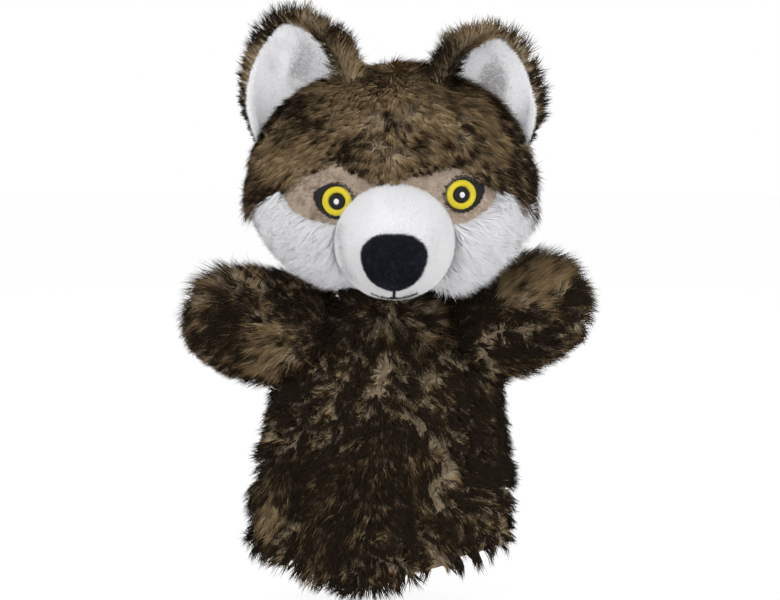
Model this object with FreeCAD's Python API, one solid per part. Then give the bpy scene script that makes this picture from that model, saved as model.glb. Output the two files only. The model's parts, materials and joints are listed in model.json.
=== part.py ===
"""Wolf glove puppet: a plush glove with two finger arms and a stuffed head.

Millimetres. +Z is up and the face looks along -Y. The origin is the centre of
the hand opening, in the plane of the hem. Left and right are the puppet's own:
its left arm is on the +X side.
"""
import FreeCAD, Part
import math
import os
from FreeCAD import Matrix, Placement, Rotation, Vector

# Cloth thicknesses and clearances
fur_cloth = 4.0            # long-pile cloth: knitted backing and the dense foot of the pile
smooth_cloth = 3.0         # short-pile white cloth on the muzzle
lining_cloth = 1.0         # woven lining
lining_ease = 0.3          # air between the lining and the plush
travel_gap = 0.5           # air between pieces that move past each other
thread_height = 1.2        # how far embroidery stands off its cloth

# Glove body: half-widths and half-depths of the bag at heights above the hem
hem_half_width = 56.0
belly_half_width = 59.0
belly_height = 30.0
waist_half_width = 57.0
waist_height = 66.0
armpit_half_width = 52.0
armpit_height = 90.0
chest_half_width = 46.0
chest_height = 110.0
shoulder_half_width = 36.0
shoulder_height = 122.0
collar_half_width = 22.0
collar_height = 129.0
hem_half_depth = 30.0
belly_half_depth = 31.0
armpit_half_depth = 29.0
chest_half_depth = 26.0
shoulder_half_depth = 20.0
collar_half_depth = 16.5
facing_height = 14.0       # turned-up hem facing
facing_cloth = 1.6
fold_count = 12            # soft folds round the empty bag
fold_depth = 1.5           # from the middle of a fold to its crest, at the belly
fold_points = 4            # points that draw each fold
far = 200.0                # beyond every surface, for cutting tools

# Neck
neck_height = 142.0        # centre about which the head turns, tilts and nods
neck_radius = 19.0
neck_passage = 11.5        # radius of the way through for two fingers
gusset_cloth = 1.4
binding_cloth = 1.4
neck_low_angle = 88.0      # polar angles of the neck rings' rims, from straight up
neck_high_angle = 52.0

# Arms
arm_spread = 40.0          # distance of each shoulder centre from the middle
arm_back = 2.0             # how far the shoulder centres lie behind the neck
arm_height = 120.0
arm_root_radius = 22.0
arm_radius = 21.0
paw_radius = 17.2           # near the blunt end of the paw
arm_leave_angle = 80.0     # where the arm leaves its ball, from its own axis
arm_reach = 48.5           # from the shoulder centre to the paw's tip
arm_rise = {"left": 18.0, "right": 4.0}
arm_mouth_depth = 15.0     # how far the ball reaches inward before its open mouth
arm_cloth = 3.0
sleeve_ring_cloth = 2.0
sleeve_ring_outer_angle = 48.0   # polar angles of the ring's rims, from the arm's axis
sleeve_ring_inner_angle = 118.0
arm_swing_middle = 20.0    # middle of the forward and backward swing, degrees
arm_swing_half = 30.0      # half of its whole range

# Head
head_height = 189.5        # of the head's centre
head_forward = 18.0
head_centre = Vector(0, -head_forward, head_height)
head_half = Vector(61.5, 45, 50.5)
back_seam_y = head_centre.y + 8.0
pocket_radius = 11.5       # finger pocket
pocket_top = 212.0
muzzle_centre = Vector(2, -50, 166.6)
muzzle_half = Vector(27.5, 32, 28)
fringe_line = [(-90, 176), (-64, 176), (-45, 188), (-24, 198), (0, 190),
               (24, 198), (45, 188), (64, 176), (90, 176)]
eye_patch_centre = (22.0, 186.0)
eye_patch_half = (24.0, 16.0)

# Eyes
eye_place = {"left": (31.0, 186.3), "right": (23.0, 183.6)}
iris_radius = 6.6
pupil_radius = 3.7
glint_half = (1.3, 2.1)
eye_outline = [(-8.4, -0.5), (-6.0, 5.4), (-0.6, 8.6), (5.0, 7.2), (10.4, 3.2),
               (9.0, -2.2), (5.0, -6.2), (-0.4, -7.7), (-5.8, -5.6)]

# Nose and mouth
nose_middle = 1.8          # the nose sits a little to one side
nose_outline = [(0, 170.4), (7.6, 169.8), (13.4, 164.6), (13.0, 156.6), (8.6, 149.8),
                (0, 146.4), (-8.6, 149.8), (-13.0, 156.6), (-13.4, 164.6), (-7.6, 169.8)]
nose_height = 6.0
mouth_thread = 1.4
mouth_drop = 5.0
mouth_half_width = 10.0
mouth_lift = 2.4

# Ears
ear_base_out = 31.5
ear_base_forward = 12.0
ear_base_height = 203.0
ear_base = Vector(ear_base_out, -ear_base_forward, ear_base_height)
ear_outline = [(-26, 0), (-29, 23), (-18, 46), (0, 61), (16, 49), (26, 26), (24, 0)]
ear_height_share = {"left": 0.90, "right": 1.0}
ear_front_share = 0.87
ear_front_height_share = 0.96
ear_front_shift = 1.4      # how far the front lies toward the ear's outer rim
ear_cup_radius = 31.0
ear_cup_offset = 24.0
ear_front_cloth = 2.4
ear_lean = {"left": 20.0, "right": 15.0}
ear_turn = {"left": 30.0, "right": 18.0}
sides = {"left": 1, "right": -1}


def save(node, shape):
    """Write one node's solids as a STEP file."""
    shape.exportStep(os.path.join("parts", node + ".step"))
    print(node, len(shape.Solids), round(shape.Volume / 1000, 2), shape.isValid())


def ball(radius, centre):
    return Part.makeSphere(radius, centre)


def ellipsoid(centre, half, inset=0.0):
    """An ellipsoid with its three half-sizes less one inset."""
    scale = Matrix()
    scale.scale(half.x - inset, half.y - inset, half.z - inset)
    shape = Part.makeSphere(1.0).transformGeometry(scale)
    shape.translate(centre)
    return shape


def level_ellipse(half_width, half_depth, height):
    """A closed ellipse in a level plane, wide across X."""
    return Part.Wire([Part.Ellipse(Vector(0, 0, height), half_width, half_depth).toShape()])


def folded_ellipse(half_width, half_depth, height, depth):
    """A closed level ring like level_ellipse, with soft folds of one depth."""
    if depth == 0:
        return level_ellipse(half_width, half_depth, height)
    points = []
    for number in range(fold_count * fold_points):
        angle = 2 * math.pi * number / (fold_count * fold_points)
        out = depth * math.cos(fold_count * angle)
        points.append(Vector((half_width + out) * math.cos(angle),
                             (half_depth + out) * math.sin(angle), height))
    curve = Part.BSplineCurve()
    curve.interpolate(points, PeriodicFlag=True)
    return Part.Wire([curve.toShape()])


def closed_curve(points):
    """A smooth closed outline in the XZ plane."""
    curve = Part.BSplineCurve()
    curve.interpolate([Vector(x, 0, z) for x, z in points], PeriodicFlag=True)
    return Part.Wire([curve.toShape()])


def upright_ellipse(half_width, half_height, x, z):
    """A closed ellipse in the XZ plane, centred at x and z."""
    scale = Matrix()
    scale.scale(half_width, 1, half_height)
    ring = Part.Circle(Vector(0, 0, 0), Vector(0, 1, 0), 1).toShape().transformGeometry(scale)
    ring.translate(Vector(x, 0, z))
    return Part.Wire([ring])


def face_prism(wire, front, back):
    """A solid with the wire's outline, from front to back along Y."""
    face = Part.Face(wire)
    face.translate(Vector(0, front, 0))
    return face.extrude(Vector(0, back - front, 0))


def mirrored(shape, side):
    """The +X shape itself, or its mirror image on the -X side."""
    if side > 0:
        return shape
    return shape.mirror(Vector(0, 0, 0), Vector(1, 0, 0))


def half_space(normal_sign, at, axis):
    """A large box on one side of a plane across X or Y."""
    size = 600.0
    corner = Vector(-size / 2, -size / 2, -size / 2)
    low = at if normal_sign > 0 else at - size
    if axis == "x":
        corner.x = low
    else:
        corner.y = low
    return Part.makeBox(size, size, size, corner)


def bag(inset, bottom=0.0):
    """The glove's bag, smaller all round by the inset, closed at the collar."""
    levels = [
        (hem_half_width, hem_half_depth, bottom, fold_depth),
        (belly_half_width, belly_half_depth, belly_height, fold_depth),
        (waist_half_width, belly_half_depth, waist_height, fold_depth),
        (armpit_half_width, armpit_half_depth, armpit_height, fold_depth * 0.5),
        (chest_half_width, chest_half_depth, chest_height - inset / 2, fold_depth * 0.2),
        (shoulder_half_width, shoulder_half_depth, shoulder_height - inset, fold_depth * 0.05),
        (collar_half_width, collar_half_depth, collar_height - inset, fold_depth * 0.01),
    ]
    wires = [folded_ellipse(a - inset, b - inset, z, depth) for a, b, z, depth in levels]
    return Part.makeLoft(wires, True, False)


def sphere_zone(centre, outer, inner, first_angle, last_angle, turn):
    """A ring of a hollow ball between two angles from its axis, +Z before the turn."""
    first = math.radians(first_angle)
    last = math.radians(last_angle)
    middle = (first + last) / 2

    def at(radius, angle):
        return Vector(radius * math.sin(angle), 0, radius * math.cos(angle))

    edges = [
        Part.Arc(at(outer, first), at(outer, middle), at(outer, last)).toShape(),
        Part.LineSegment(at(outer, last), at(inner, last)).toShape(),
        Part.Arc(at(inner, last), at(inner, middle), at(inner, first)).toShape(),
        Part.LineSegment(at(inner, first), at(outer, first)).toShape(),
    ]
    face = Part.Face(Part.Wire(edges))
    ring = face.revolve(Vector(0, 0, 0), Vector(0, 0, 1), 360)
    ring.Placement = Placement(centre, turn)
    return ring


def shoulder_centre(side):
    return Vector(side * arm_spread, arm_back, arm_height)


def arm_room(side):
    """The space that an arm needs over its whole travel, taken out of the bag."""
    centre = shoulder_centre(side)
    radius = arm_root_radius + travel_gap
    middle = math.radians(arm_swing_middle)
    half = math.radians(arm_swing_half)
    axis = Vector(side * math.cos(middle), -math.sin(middle), 0)
    start = centre - axis * (radius * math.sin(half))
    length = 2 * arm_reach
    low = radius * math.cos(half)
    cone = Part.makeCone(low, low + length * math.tan(half), length, start, axis)
    return ball(radius, centre).fuse(cone)


def build_body():
    """Front and back panels, the two lining panels and the hem facing."""
    neck = Vector(0, 0, neck_height)
    rooms = [arm_room(1), arm_room(-1)]
    passage = Part.makeCylinder(neck_passage, neck_height, Vector(0, 0, chest_height))
    outer = bag(0.0).fuse(ball(neck_radius, neck))
    inner = bag(fur_cloth).fuse(ball(neck_radius - fur_cloth, neck))
    shell = outer.cut(inner).cut(passage)
    for room in rooms:
        shell = shell.cut(room)
    save("body_front_panel", shell.common(half_space(-1, 0.0, "y")))
    save("body_back_panel", shell.common(half_space(1, 0.0, "y")))

    ease = fur_cloth + lining_ease
    lining = bag(ease).cut(bag(ease + lining_cloth))
    lining = lining.cut(passage)
    for room in rooms:
        lining = lining.cut(room)
    save("lining_front", lining.common(half_space(-1, 0.0, "y")))
    save("lining_back", lining.common(half_space(1, 0.0, "y")))

    ease = ease + lining_cloth + lining_ease
    facing = bag(ease).cut(bag(ease + facing_cloth))
    slab = Part.makeBox(2 * far, 2 * far, facing_height, Vector(-far, -far, 0))
    save("hem_facing", facing.common(slab))


def build_neck():
    """The two soft rings between the glove's neck and the head's base."""
    inner = neck_radius + travel_gap
    outer = inner + gusset_cloth
    centre = Vector(0, 0, neck_height)
    angles = (neck_high_angle, neck_low_angle)
    save("neck_gusset", sphere_zone(centre, outer, inner, *angles, Rotation()))
    inner = outer + travel_gap
    outer = inner + binding_cloth
    save("neck_binding", sphere_zone(centre, outer, inner, *angles, Rotation()))
    return outer + travel_gap


def arm_profile(inset):
    """Half outline of an arm in the XZ plane: a ball at the root, a blunt paw."""
    root = arm_root_radius - inset
    radius = arm_radius - inset
    tip = arm_reach - inset
    leave = math.radians(arm_leave_angle)
    start = Vector(-root, 0, 0)
    edge = Vector(root * math.cos(leave), 0, root * math.sin(leave))
    top = Vector(-root * math.sin(math.pi / 4), 0, root * math.sin(math.pi / 4))
    shoulder = Part.Arc(start, top, edge).toShape()
    points = [
        edge,
        Vector(arm_reach * 0.45, 0, radius),
        Vector(arm_reach * 0.82 - inset * 0.6, 0, paw_radius - inset),
        Vector(tip, 0, 0),
    ]
    curve = Part.BSplineCurve()
    curve.interpolate(points, InitialTangent=Vector(root, 0, -root / math.tan(leave)),
                      FinalTangent=Vector(0, 0, -radius))
    close = Part.LineSegment(Vector(tip, 0, 0), start).toShape()
    return Part.Wire([shoulder, curve.toShape(), close])


def arm_solid(inset):
    return Part.Face(arm_profile(inset)).revolve(Vector(0, 0, 0), Vector(1, 0, 0), 360)


def place_arm(shape, name):
    """Raise the arm to its rest angle and set it on its shoulder."""
    side = sides[name]
    shape = shape.copy()
    shape.Placement = Placement(Vector(arm_spread, arm_back, arm_height),
                                Rotation(Vector(0, 1, 0), -arm_rise[name])).multiply(shape.Placement)
    return mirrored(shape, side)


def build_arm(name):
    """Front and back plush, the finger lining, and the ring at the shoulder."""
    shell = arm_solid(0.0).cut(arm_solid(arm_cloth))
    shell = shell.cut(half_space(-1, -arm_mouth_depth, "x"))
    save(name + "_arm_front", place_arm(shell.common(half_space(-1, 0.0, "y")), name))
    save(name + "_arm_back", place_arm(shell.common(half_space(1, 0.0, "y")), name))

    ease = arm_cloth + lining_ease
    sleeve = arm_solid(ease).cut(arm_solid(ease + lining_cloth))
    beyond = half_space(1, arm_root_radius - arm_cloth, "x")
    save(name + "_arm_lining", place_arm(sleeve.common(beyond), name))

    outer = arm_root_radius - arm_cloth - travel_gap
    ring = sphere_zone(Vector(0, 0, 0), outer, outer - sleeve_ring_cloth,
                       sleeve_ring_outer_angle, sleeve_ring_inner_angle, Rotation(Vector(0, 1, 0), 90))
    save(name + "_shoulder_lining", place_arm(ring, name))


def on_muzzle(wire, height):
    """A pad of one height on the muzzle, with the wire's outline."""
    prism = face_prism(wire, muzzle_centre.y - 80, muzzle_centre.y)
    raised = ellipsoid(muzzle_centre, muzzle_half, -height)
    return prism.common(raised).cut(ellipsoid(muzzle_centre, muzzle_half))


def on_face(prism, height):
    """A pad of one height on the face's cloth, clear of the muzzle."""
    raised = ellipsoid(head_centre, head_half, -height)
    pad = prism.common(raised).cut(ellipsoid(head_centre, head_half))
    return pad.cut(ellipsoid(muzzle_centre, muzzle_half))


def build_head(recess_radius):
    """The head's panels, its stuffing, the muzzle and the finger pocket."""
    whole = ellipsoid(head_centre, head_half)
    core = ellipsoid(head_centre, head_half, fur_cloth)
    snout = ellipsoid(muzzle_centre, muzzle_half)
    snout_core = ellipsoid(muzzle_centre, muzzle_half, smooth_cloth)
    recess = ball(recess_radius, Vector(0, 0, neck_height))

    shell = whole.cut(core).cut(recess)
    save("head_back_panel", shell.common(half_space(1, back_seam_y, "y")))
    face = shell.common(half_space(-1, back_seam_y, "y")).cut(snout)

    line = Part.BSplineCurve()
    line.interpolate([Vector(x, 0, z) for x, z in fringe_line])
    low, high = fringe_line[0], fringe_line[-1]
    above = 2 * far
    edges = [
        line.toShape(),
        Part.LineSegment(Vector(high[0], 0, high[1]), Vector(high[0], 0, above)).toShape(),
        Part.LineSegment(Vector(high[0], 0, above), Vector(low[0], 0, above)).toShape(),
        Part.LineSegment(Vector(low[0], 0, above), Vector(low[0], 0, low[1])).toShape(),
    ]
    top = face_prism(Part.Wire(edges), head_centre.y - 2 * head_half.y, head_centre.y + 2 * head_half.y)
    crown = face.common(top)
    lower = face.cut(top)
    for name, side in sides.items():
        half = half_space(side, 0.0, "x")
        save(name + "_crown", crown.common(half))
        patch = upright_ellipse(*eye_patch_half, side * eye_patch_centre[0], eye_patch_centre[1])
        patch = face_prism(patch, head_centre.y - 2 * head_half.y, head_centre.y)
        save(name + "_eye_patch", lower.common(half).common(patch))
        save(name + "_cheek", lower.common(half).cut(patch))

    save("muzzle_cover", snout.cut(snout_core).cut(core))
    save("muzzle_stuffing", snout_core.cut(core))

    pocket_low = Vector(0, 0, neck_height + recess_radius / 2)
    pocket_length = pocket_top - pocket_radius - pocket_low.z
    tip = Vector(0, 0, pocket_top - pocket_radius)
    outside = Part.makeCylinder(pocket_radius + lining_cloth, pocket_length, pocket_low)
    outside = outside.fuse(ball(pocket_radius + lining_cloth, tip))
    inside = Part.makeCylinder(pocket_radius, pocket_length, pocket_low)
    inside = inside.fuse(ball(pocket_radius, tip))
    save("head_finger_pocket", outside.cut(inside).cut(recess))
    save("head_stuffing", core.cut(recess).cut(outside))


def build_eye(name):
    """One embroidered eye: outline, iris, pupil and glint."""
    side = sides[name]
    x, z = eye_place[name]
    front, back = head_centre.y - 2 * head_half.y, head_centre.y

    def disc(half_width, half_height):
        return face_prism(upright_ellipse(half_width, half_height, side * x, z), front, back)

    almond = closed_curve([(side * (x + u), z + v) for u, v in eye_outline])
    almond = face_prism(almond, front, back)
    iris = disc(iris_radius, iris_radius)
    pupil = disc(pupil_radius, pupil_radius)
    glint = disc(*glint_half)
    save(name + "_eye_outline", on_face(almond.cut(iris), thread_height))
    save(name + "_eye_iris", on_face(iris.cut(pupil), thread_height))
    save(name + "_eye_pupil", on_face(pupil.cut(glint), thread_height))
    save(name + "_eye_glint", on_face(glint, thread_height))


def build_nose_and_mouth():
    """The padded nose and the mouth's stitched thread."""
    outline = closed_curve([(nose_middle + x, z) for x, z in nose_outline])
    save("nose", on_muzzle(outline, nose_height))
    middle = nose_middle
    top = nose_outline[5][1]
    fork = top - mouth_drop
    left, right = middle - mouth_half_width, middle + mouth_half_width
    corner = fork + mouth_lift
    stem = [(middle - mouth_thread / 2, top + 2), (middle + mouth_thread / 2, top + 2),
            (middle + mouth_thread / 2, fork), (middle - mouth_thread / 2, fork)]
    stem = [Vector(x, 0, z) for x, z in stem]
    stem = Part.makePolygon(stem + stem[:1])
    smile = [
        Part.Arc(Vector(left, 0, corner), Vector(middle, 0, fork),
                 Vector(right, 0, corner)).toShape(),
        Part.LineSegment(Vector(right, 0, corner),
                         Vector(right, 0, corner - mouth_thread)).toShape(),
        Part.Arc(Vector(right, 0, corner - mouth_thread), Vector(middle, 0, fork - mouth_thread),
                 Vector(left, 0, corner - mouth_thread)).toShape(),
        Part.LineSegment(Vector(left, 0, corner - mouth_thread),
                         Vector(left, 0, corner)).toShape(),
    ]
    line = on_muzzle(stem, thread_height).cut(on_muzzle(outline, nose_height))
    smile = on_muzzle(Part.Wire(smile), thread_height)
    save("mouth_stitching", line.fuse(smile))


def build_ear(name):
    """A cupped ear: a furry back and a smooth front, sewn along their rims."""
    side = sides[name]
    prism = []
    for share in (1.0, ear_front_share):
        curve = Part.BSplineCurve()
        shift = 0.0 if share == 1.0 else ear_front_shift
        tall = ear_height_share[name] * (1.0 if share == 1.0 else ear_front_height_share)
        points = [Vector(x * share + shift, 0, z * tall) for x, z in ear_outline]
        curve.interpolate(points)
        base = Part.LineSegment(points[-1], points[0]).toShape()
        prism.append(face_prism(Part.Wire([curve.toShape(), base]), -60, 60))

    def cup(radius):
        return Part.makeCylinder(radius, 100, Vector(0, -ear_cup_offset, 0))

    back = prism[0].common(cup(ear_cup_radius)).cut(cup(ear_cup_radius - fur_cloth))
    front = prism[1].common(cup(ear_cup_radius - fur_cloth))
    front = front.cut(cup(ear_cup_radius - fur_cloth - ear_front_cloth))
    behind = half_space(1, -ear_cup_offset, "y")
    lean = Rotation(Vector(0, 1, 0), ear_lean[name])
    turn = Rotation(Vector(0, 0, 1), ear_turn[name])
    place = Placement(ear_base, lean.multiply(turn))
    whole = ellipsoid(head_centre, head_half)
    for part, shape in (("back", back), ("front", front)):
        shape = shape.common(behind)
        shape.Placement = place.multiply(shape.Placement)
        save("_".join([name, "ear", part]), mirrored(shape, side).cut(whole))


def main():
    os.makedirs("parts", exist_ok=True)
    build_body()
    recess_radius = build_neck()
    build_head(recess_radius)
    build_nose_and_mouth()
    for name in sides:
        build_arm(name)
        build_eye(name)
        build_ear(name)


main()
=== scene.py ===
"""Looks of a plush wolf hand puppet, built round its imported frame.

Everything is in metres, in the frame's own axes: +Z is up, the face looks along
-Y, and left and right are the puppet's own. Long pile is grown as fine tapered
blades on stitched forms; each blade's map runs from its root to its tip, so the
tan foot and the dark tip of a hair come from one material.
"""

import itertools
import json
import logging
import math
from dataclasses import dataclass, field
from enum import Enum
from typing import Callable, Iterable, Optional, Sequence

import bpy
import numpy as np
from mathutils import Matrix, Vector
from mathutils.bvhtree import BVHTree

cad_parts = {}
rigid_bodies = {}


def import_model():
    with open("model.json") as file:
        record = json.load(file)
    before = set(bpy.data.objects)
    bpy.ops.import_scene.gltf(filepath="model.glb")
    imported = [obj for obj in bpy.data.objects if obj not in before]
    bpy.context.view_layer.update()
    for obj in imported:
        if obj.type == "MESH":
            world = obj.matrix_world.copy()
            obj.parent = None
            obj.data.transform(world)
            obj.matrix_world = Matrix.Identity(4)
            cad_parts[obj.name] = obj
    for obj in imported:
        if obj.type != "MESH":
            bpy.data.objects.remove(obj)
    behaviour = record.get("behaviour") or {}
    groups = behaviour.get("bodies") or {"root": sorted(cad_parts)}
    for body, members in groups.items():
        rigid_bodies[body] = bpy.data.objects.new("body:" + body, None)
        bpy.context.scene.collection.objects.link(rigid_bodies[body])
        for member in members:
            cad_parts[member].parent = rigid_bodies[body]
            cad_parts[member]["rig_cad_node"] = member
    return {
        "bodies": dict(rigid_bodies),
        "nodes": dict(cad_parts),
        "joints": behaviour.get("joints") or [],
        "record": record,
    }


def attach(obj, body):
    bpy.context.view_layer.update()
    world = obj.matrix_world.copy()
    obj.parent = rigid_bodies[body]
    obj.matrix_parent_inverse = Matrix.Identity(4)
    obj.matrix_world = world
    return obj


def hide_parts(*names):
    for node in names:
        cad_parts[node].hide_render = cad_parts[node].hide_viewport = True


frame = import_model()

LOG = logging.getLogger("wolf_puppet")
MM = 0.001
SIDES = {"left": 1.0, "right": -1.0}
MAP_NAME = "OFBake"
Colour = tuple[float, float, float]
Field = Callable[[np.ndarray], np.ndarray]


# --------------------------------------------------------------------------
# Finishes
# --------------------------------------------------------------------------
class Nodes:
    """A material's node tree with short ways to add and join nodes."""

    def __init__(self, name: str) -> None:
        """Start a material of this name with an empty Principled surface."""
        self.material = bpy.data.materials.new(name)
        self.material.use_nodes = True
        self.tree = self.material.node_tree
        self.shader = self.tree.nodes["Principled BSDF"]

    def add(self, kind: str, **values: object) -> bpy.types.Node:
        """Add a node of a kind and set its properties."""
        node = self.tree.nodes.new(kind)
        for name, value in values.items():
            setattr(node, name, value)
        return node

    def join(self, source: bpy.types.NodeSocket, target: bpy.types.NodeSocket) -> None:
        """Link one socket to another."""
        self.tree.links.new(source, target)

    def ramp(self, stops: Sequence[tuple[float, Colour]], source: bpy.types.NodeSocket) -> bpy.types.NodeSocket:
        """Add a colour ramp.

        Args:
            stops: Positions and linear colours, in order.
            source: The value that is looked up.

        Returns:
            The ramp's colour.
        """
        node = self.add("ShaderNodeValToRGB")
        elements = node.color_ramp.elements
        while len(elements) < len(stops):
            elements.new(0.5)
        for element, (place, colour) in zip(elements, stops):
            element.position = place
            element.color = (*colour, 1.0)
        self.join(source, node.inputs["Fac"])
        return node.outputs["Color"]

    def mix(self, factor: bpy.types.NodeSocket, first: bpy.types.NodeSocket,
            second: bpy.types.NodeSocket) -> bpy.types.NodeSocket:
        """Blend two colours by a factor and return the result."""
        node = self.add("ShaderNodeMix", data_type="RGBA")
        self.join(factor, node.inputs[0])
        self.join(first, node.inputs[6])
        self.join(second, node.inputs[7])
        return node.outputs[2]

    def surface(self, roughness: float, sheen: float = 0.0, specular: float = 0.3) -> None:
        """Set the plain numbers of the surface."""
        self.shader.inputs["Roughness"].default_value = roughness
        self.shader.inputs["Sheen Weight"].default_value = sheen
        self.shader.inputs["Sheen Roughness"].default_value = 0.5
        self.shader.inputs["Specular IOR Level"].default_value = specular


@dataclass(frozen=True)
class PileFinish:
    """Dyed pile: a root colour, a tip colour, and how far up the dye starts.

    The map's first number runs from hairs dyed right through, by hairs with dyed tips, to hairs that
    took little dye; on several pieces it also carries painted shade and painted light from their tone fields. Its
    second runs from root to tip.
    """

    name: str
    root: Colour
    root_light: Colour
    middle: Colour
    tip: Colour
    tip_light: Colour
    deep: Optional[Colour] = None
    dye_start: float = 0.36
    dye_full: float = 0.62
    roughness: float = 0.8
    sheen: float = 0.1
    specular: float = 0.15

    def material(self) -> bpy.types.Material:
        """Build the material, or return the one already made."""
        if self.name in bpy.data.materials:
            return bpy.data.materials[self.name]
        nodes = Nodes(self.name)
        uv = nodes.add("ShaderNodeUVMap", uv_map=MAP_NAME)
        parts = nodes.add("ShaderNodeSeparateXYZ")
        nodes.join(uv.outputs["UV"], parts.inputs[0])
        along, which = parts.outputs["Y"], parts.outputs["X"]
        deep = nodes.ramp([(0.0, self.deep or self.root), (1.0, self.deep or self.tip)], along)
        dark = nodes.ramp([(0.0, self.root), (0.2, self.root), (self.dye_start, self.root_light),
                           (0.45 * self.dye_start + 0.55 * self.dye_full, self.middle), (self.dye_full, self.tip),
                           (1.0, self.tip)], along)
        light = nodes.ramp([(0.0, self.root), (0.3, self.root_light), (0.72, self.tip_light), (1.0, self.middle)],
                           along)
        dyed = nodes.ramp([(0.18, (0, 0, 0)), (0.40, (1, 1, 1))], which)
        little = nodes.ramp([(0.60, (0, 0, 0)), (0.92, (1, 1, 1))], which)
        colour = nodes.mix(little, nodes.mix(dyed, deep, dark), light)
        nodes.join(colour, nodes.shader.inputs["Base Color"])
        nodes.surface(self.roughness, self.sheen, self.specular)
        return nodes.material


@dataclass(frozen=True)
class ClothFinish:
    """Woven or knitted cloth with a fine thread pattern and a slow change of tone."""

    name: str
    colour: Colour
    shade: Colour
    threads_per_metre: float = 1400.0
    bump: float = 0.25
    roughness: float = 0.85
    sheen: float = 0.2

    def material(self) -> bpy.types.Material:
        """Build the material, or return the one already made."""
        if self.name in bpy.data.materials:
            return bpy.data.materials[self.name]
        nodes = Nodes(self.name)
        place = nodes.add("ShaderNodeTexCoord").outputs["Object"]
        tone = nodes.add("ShaderNodeTexNoise")
        tone.inputs["Scale"].default_value = 90.0
        tone.inputs["Detail"].default_value = 4.0
        nodes.join(place, tone.inputs["Vector"])
        colour = nodes.ramp([(0.3, self.shade), (0.7, self.colour)], tone.outputs["Fac"])
        nodes.join(colour, nodes.shader.inputs["Base Color"])
        weave = nodes.add("ShaderNodeTexWave", wave_type="BANDS", bands_direction="DIAGONAL")
        weave.inputs["Scale"].default_value = self.threads_per_metre / 6.0
        weave.inputs["Distortion"].default_value = 1.5
        nodes.join(place, weave.inputs["Vector"])
        bump = nodes.add("ShaderNodeBump")
        bump.inputs["Strength"].default_value = self.bump
        bump.inputs["Distance"].default_value = 0.0004
        nodes.join(weave.outputs["Fac"], bump.inputs["Height"])
        nodes.join(bump.outputs["Normal"], nodes.shader.inputs["Normal"])
        nodes.surface(self.roughness, self.sheen)
        return nodes.material


@dataclass(frozen=True)
class ThreadFinish:
    """Shiny rayon embroidery thread, with a little change of tone along it."""

    name: str
    colour: Colour
    shade: Colour
    roughness: float = 0.42
    specular: float = 0.4

    def material(self) -> bpy.types.Material:
        """Build the material, or return the one already made."""
        if self.name in bpy.data.materials:
            return bpy.data.materials[self.name]
        nodes = Nodes(self.name)
        place = nodes.add("ShaderNodeTexCoord").outputs["Object"]
        tone = nodes.add("ShaderNodeTexNoise")
        tone.inputs["Scale"].default_value = 900.0
        nodes.join(place, tone.inputs["Vector"])
        colour = nodes.ramp([(0.35, self.shade), (0.6, self.colour)], tone.outputs["Fac"])
        nodes.join(colour, nodes.shader.inputs["Base Color"])
        nodes.surface(self.roughness, 0.0, self.specular)
        return nodes.material


WOLF_PILE = PileFinish("wolf_pile", root=(0.15, 0.118, 0.078), root_light=(0.42, 0.34, 0.225),
                       middle=(0.105, 0.062, 0.026), tip=(0.013, 0.0090, 0.0055), tip_light=(0.25, 0.168, 0.084),
                       deep=(0.018, 0.012, 0.0075), roughness=0.9, sheen=0.0, specular=0.06)
WHITE_PILE = PileFinish("white_pile", root=(0.90, 0.90, 0.91), root_light=(0.92, 0.92, 0.93),
                        middle=(0.94, 0.94, 0.95), tip=(0.96, 0.96, 0.97), tip_light=(0.97, 0.97, 0.98), sheen=0.3)
# SHORT_WHITE's grey deep colour is painted shade: it shows only where a tone darkens the pile, in the ear hollows and
# on the muzzle's top strip.
SHORT_WHITE = PileFinish("short_white_pile", root=(0.90, 0.90, 0.93), root_light=(0.92, 0.92, 0.94),
                         middle=(0.93, 0.93, 0.95), tip=(0.95, 0.95, 0.96), tip_light=(0.97, 0.97, 0.98),
                         deep=(0.40, 0.39, 0.40), sheen=0.25)
BEIGE_PILE = PileFinish("beige_pile", root=(0.30, 0.23, 0.17), root_light=(0.48, 0.38, 0.29),
                        middle=(0.48, 0.38, 0.29), tip=(0.50, 0.40, 0.31), tip_light=(0.66, 0.55, 0.45),
                        deep=(0.27, 0.20, 0.145))
# The nose's lighter bluish hair tips are partly its nap's own texture and partly painted highlight.
NOSE_PILE = PileFinish("nose_pile", root=(0.002, 0.0022, 0.003), root_light=(0.004, 0.005, 0.007),
                       middle=(0.006, 0.007, 0.011), tip=(0.008, 0.010, 0.016), tip_light=(0.026, 0.031, 0.045),
                       sheen=0.05, specular=0.08)
KNIT_TAN = ClothFinish("knitted_backing", (0.30, 0.22, 0.135), (0.20, 0.145, 0.09))
KNIT_WHITE = ClothFinish("white_backing", (0.80, 0.80, 0.82), (0.72, 0.72, 0.75))
KNIT_BEIGE = ClothFinish("beige_backing", (0.46, 0.37, 0.28), (0.38, 0.30, 0.22))
KNIT_NOSE = ClothFinish("nose_backing", (0.005, 0.006, 0.009), (0.003, 0.004, 0.006), sheen=0.0)
LINING = ClothFinish("lining_weave", (0.105, 0.078, 0.056), (0.075, 0.055, 0.040), 2200.0, 0.35)
BLACK_THREAD = ThreadFinish("black_thread", (0.008, 0.009, 0.012), (0.004, 0.004, 0.006), 0.55, 0.2)
YELLOW_THREAD = ThreadFinish("yellow_thread", (0.53, 0.51, 0.045), (0.38, 0.36, 0.03))
WHITE_THREAD = ThreadFinish("white_thread", (0.66, 0.66, 0.67), (0.52, 0.52, 0.54))


# --------------------------------------------------------------------------
# Shared arithmetic
# --------------------------------------------------------------------------
def unit(vectors: np.ndarray) -> np.ndarray:
    """Scale each row to length one."""
    return vectors / np.maximum(np.linalg.norm(vectors, axis=-1, keepdims=True), 1e-9)


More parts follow.
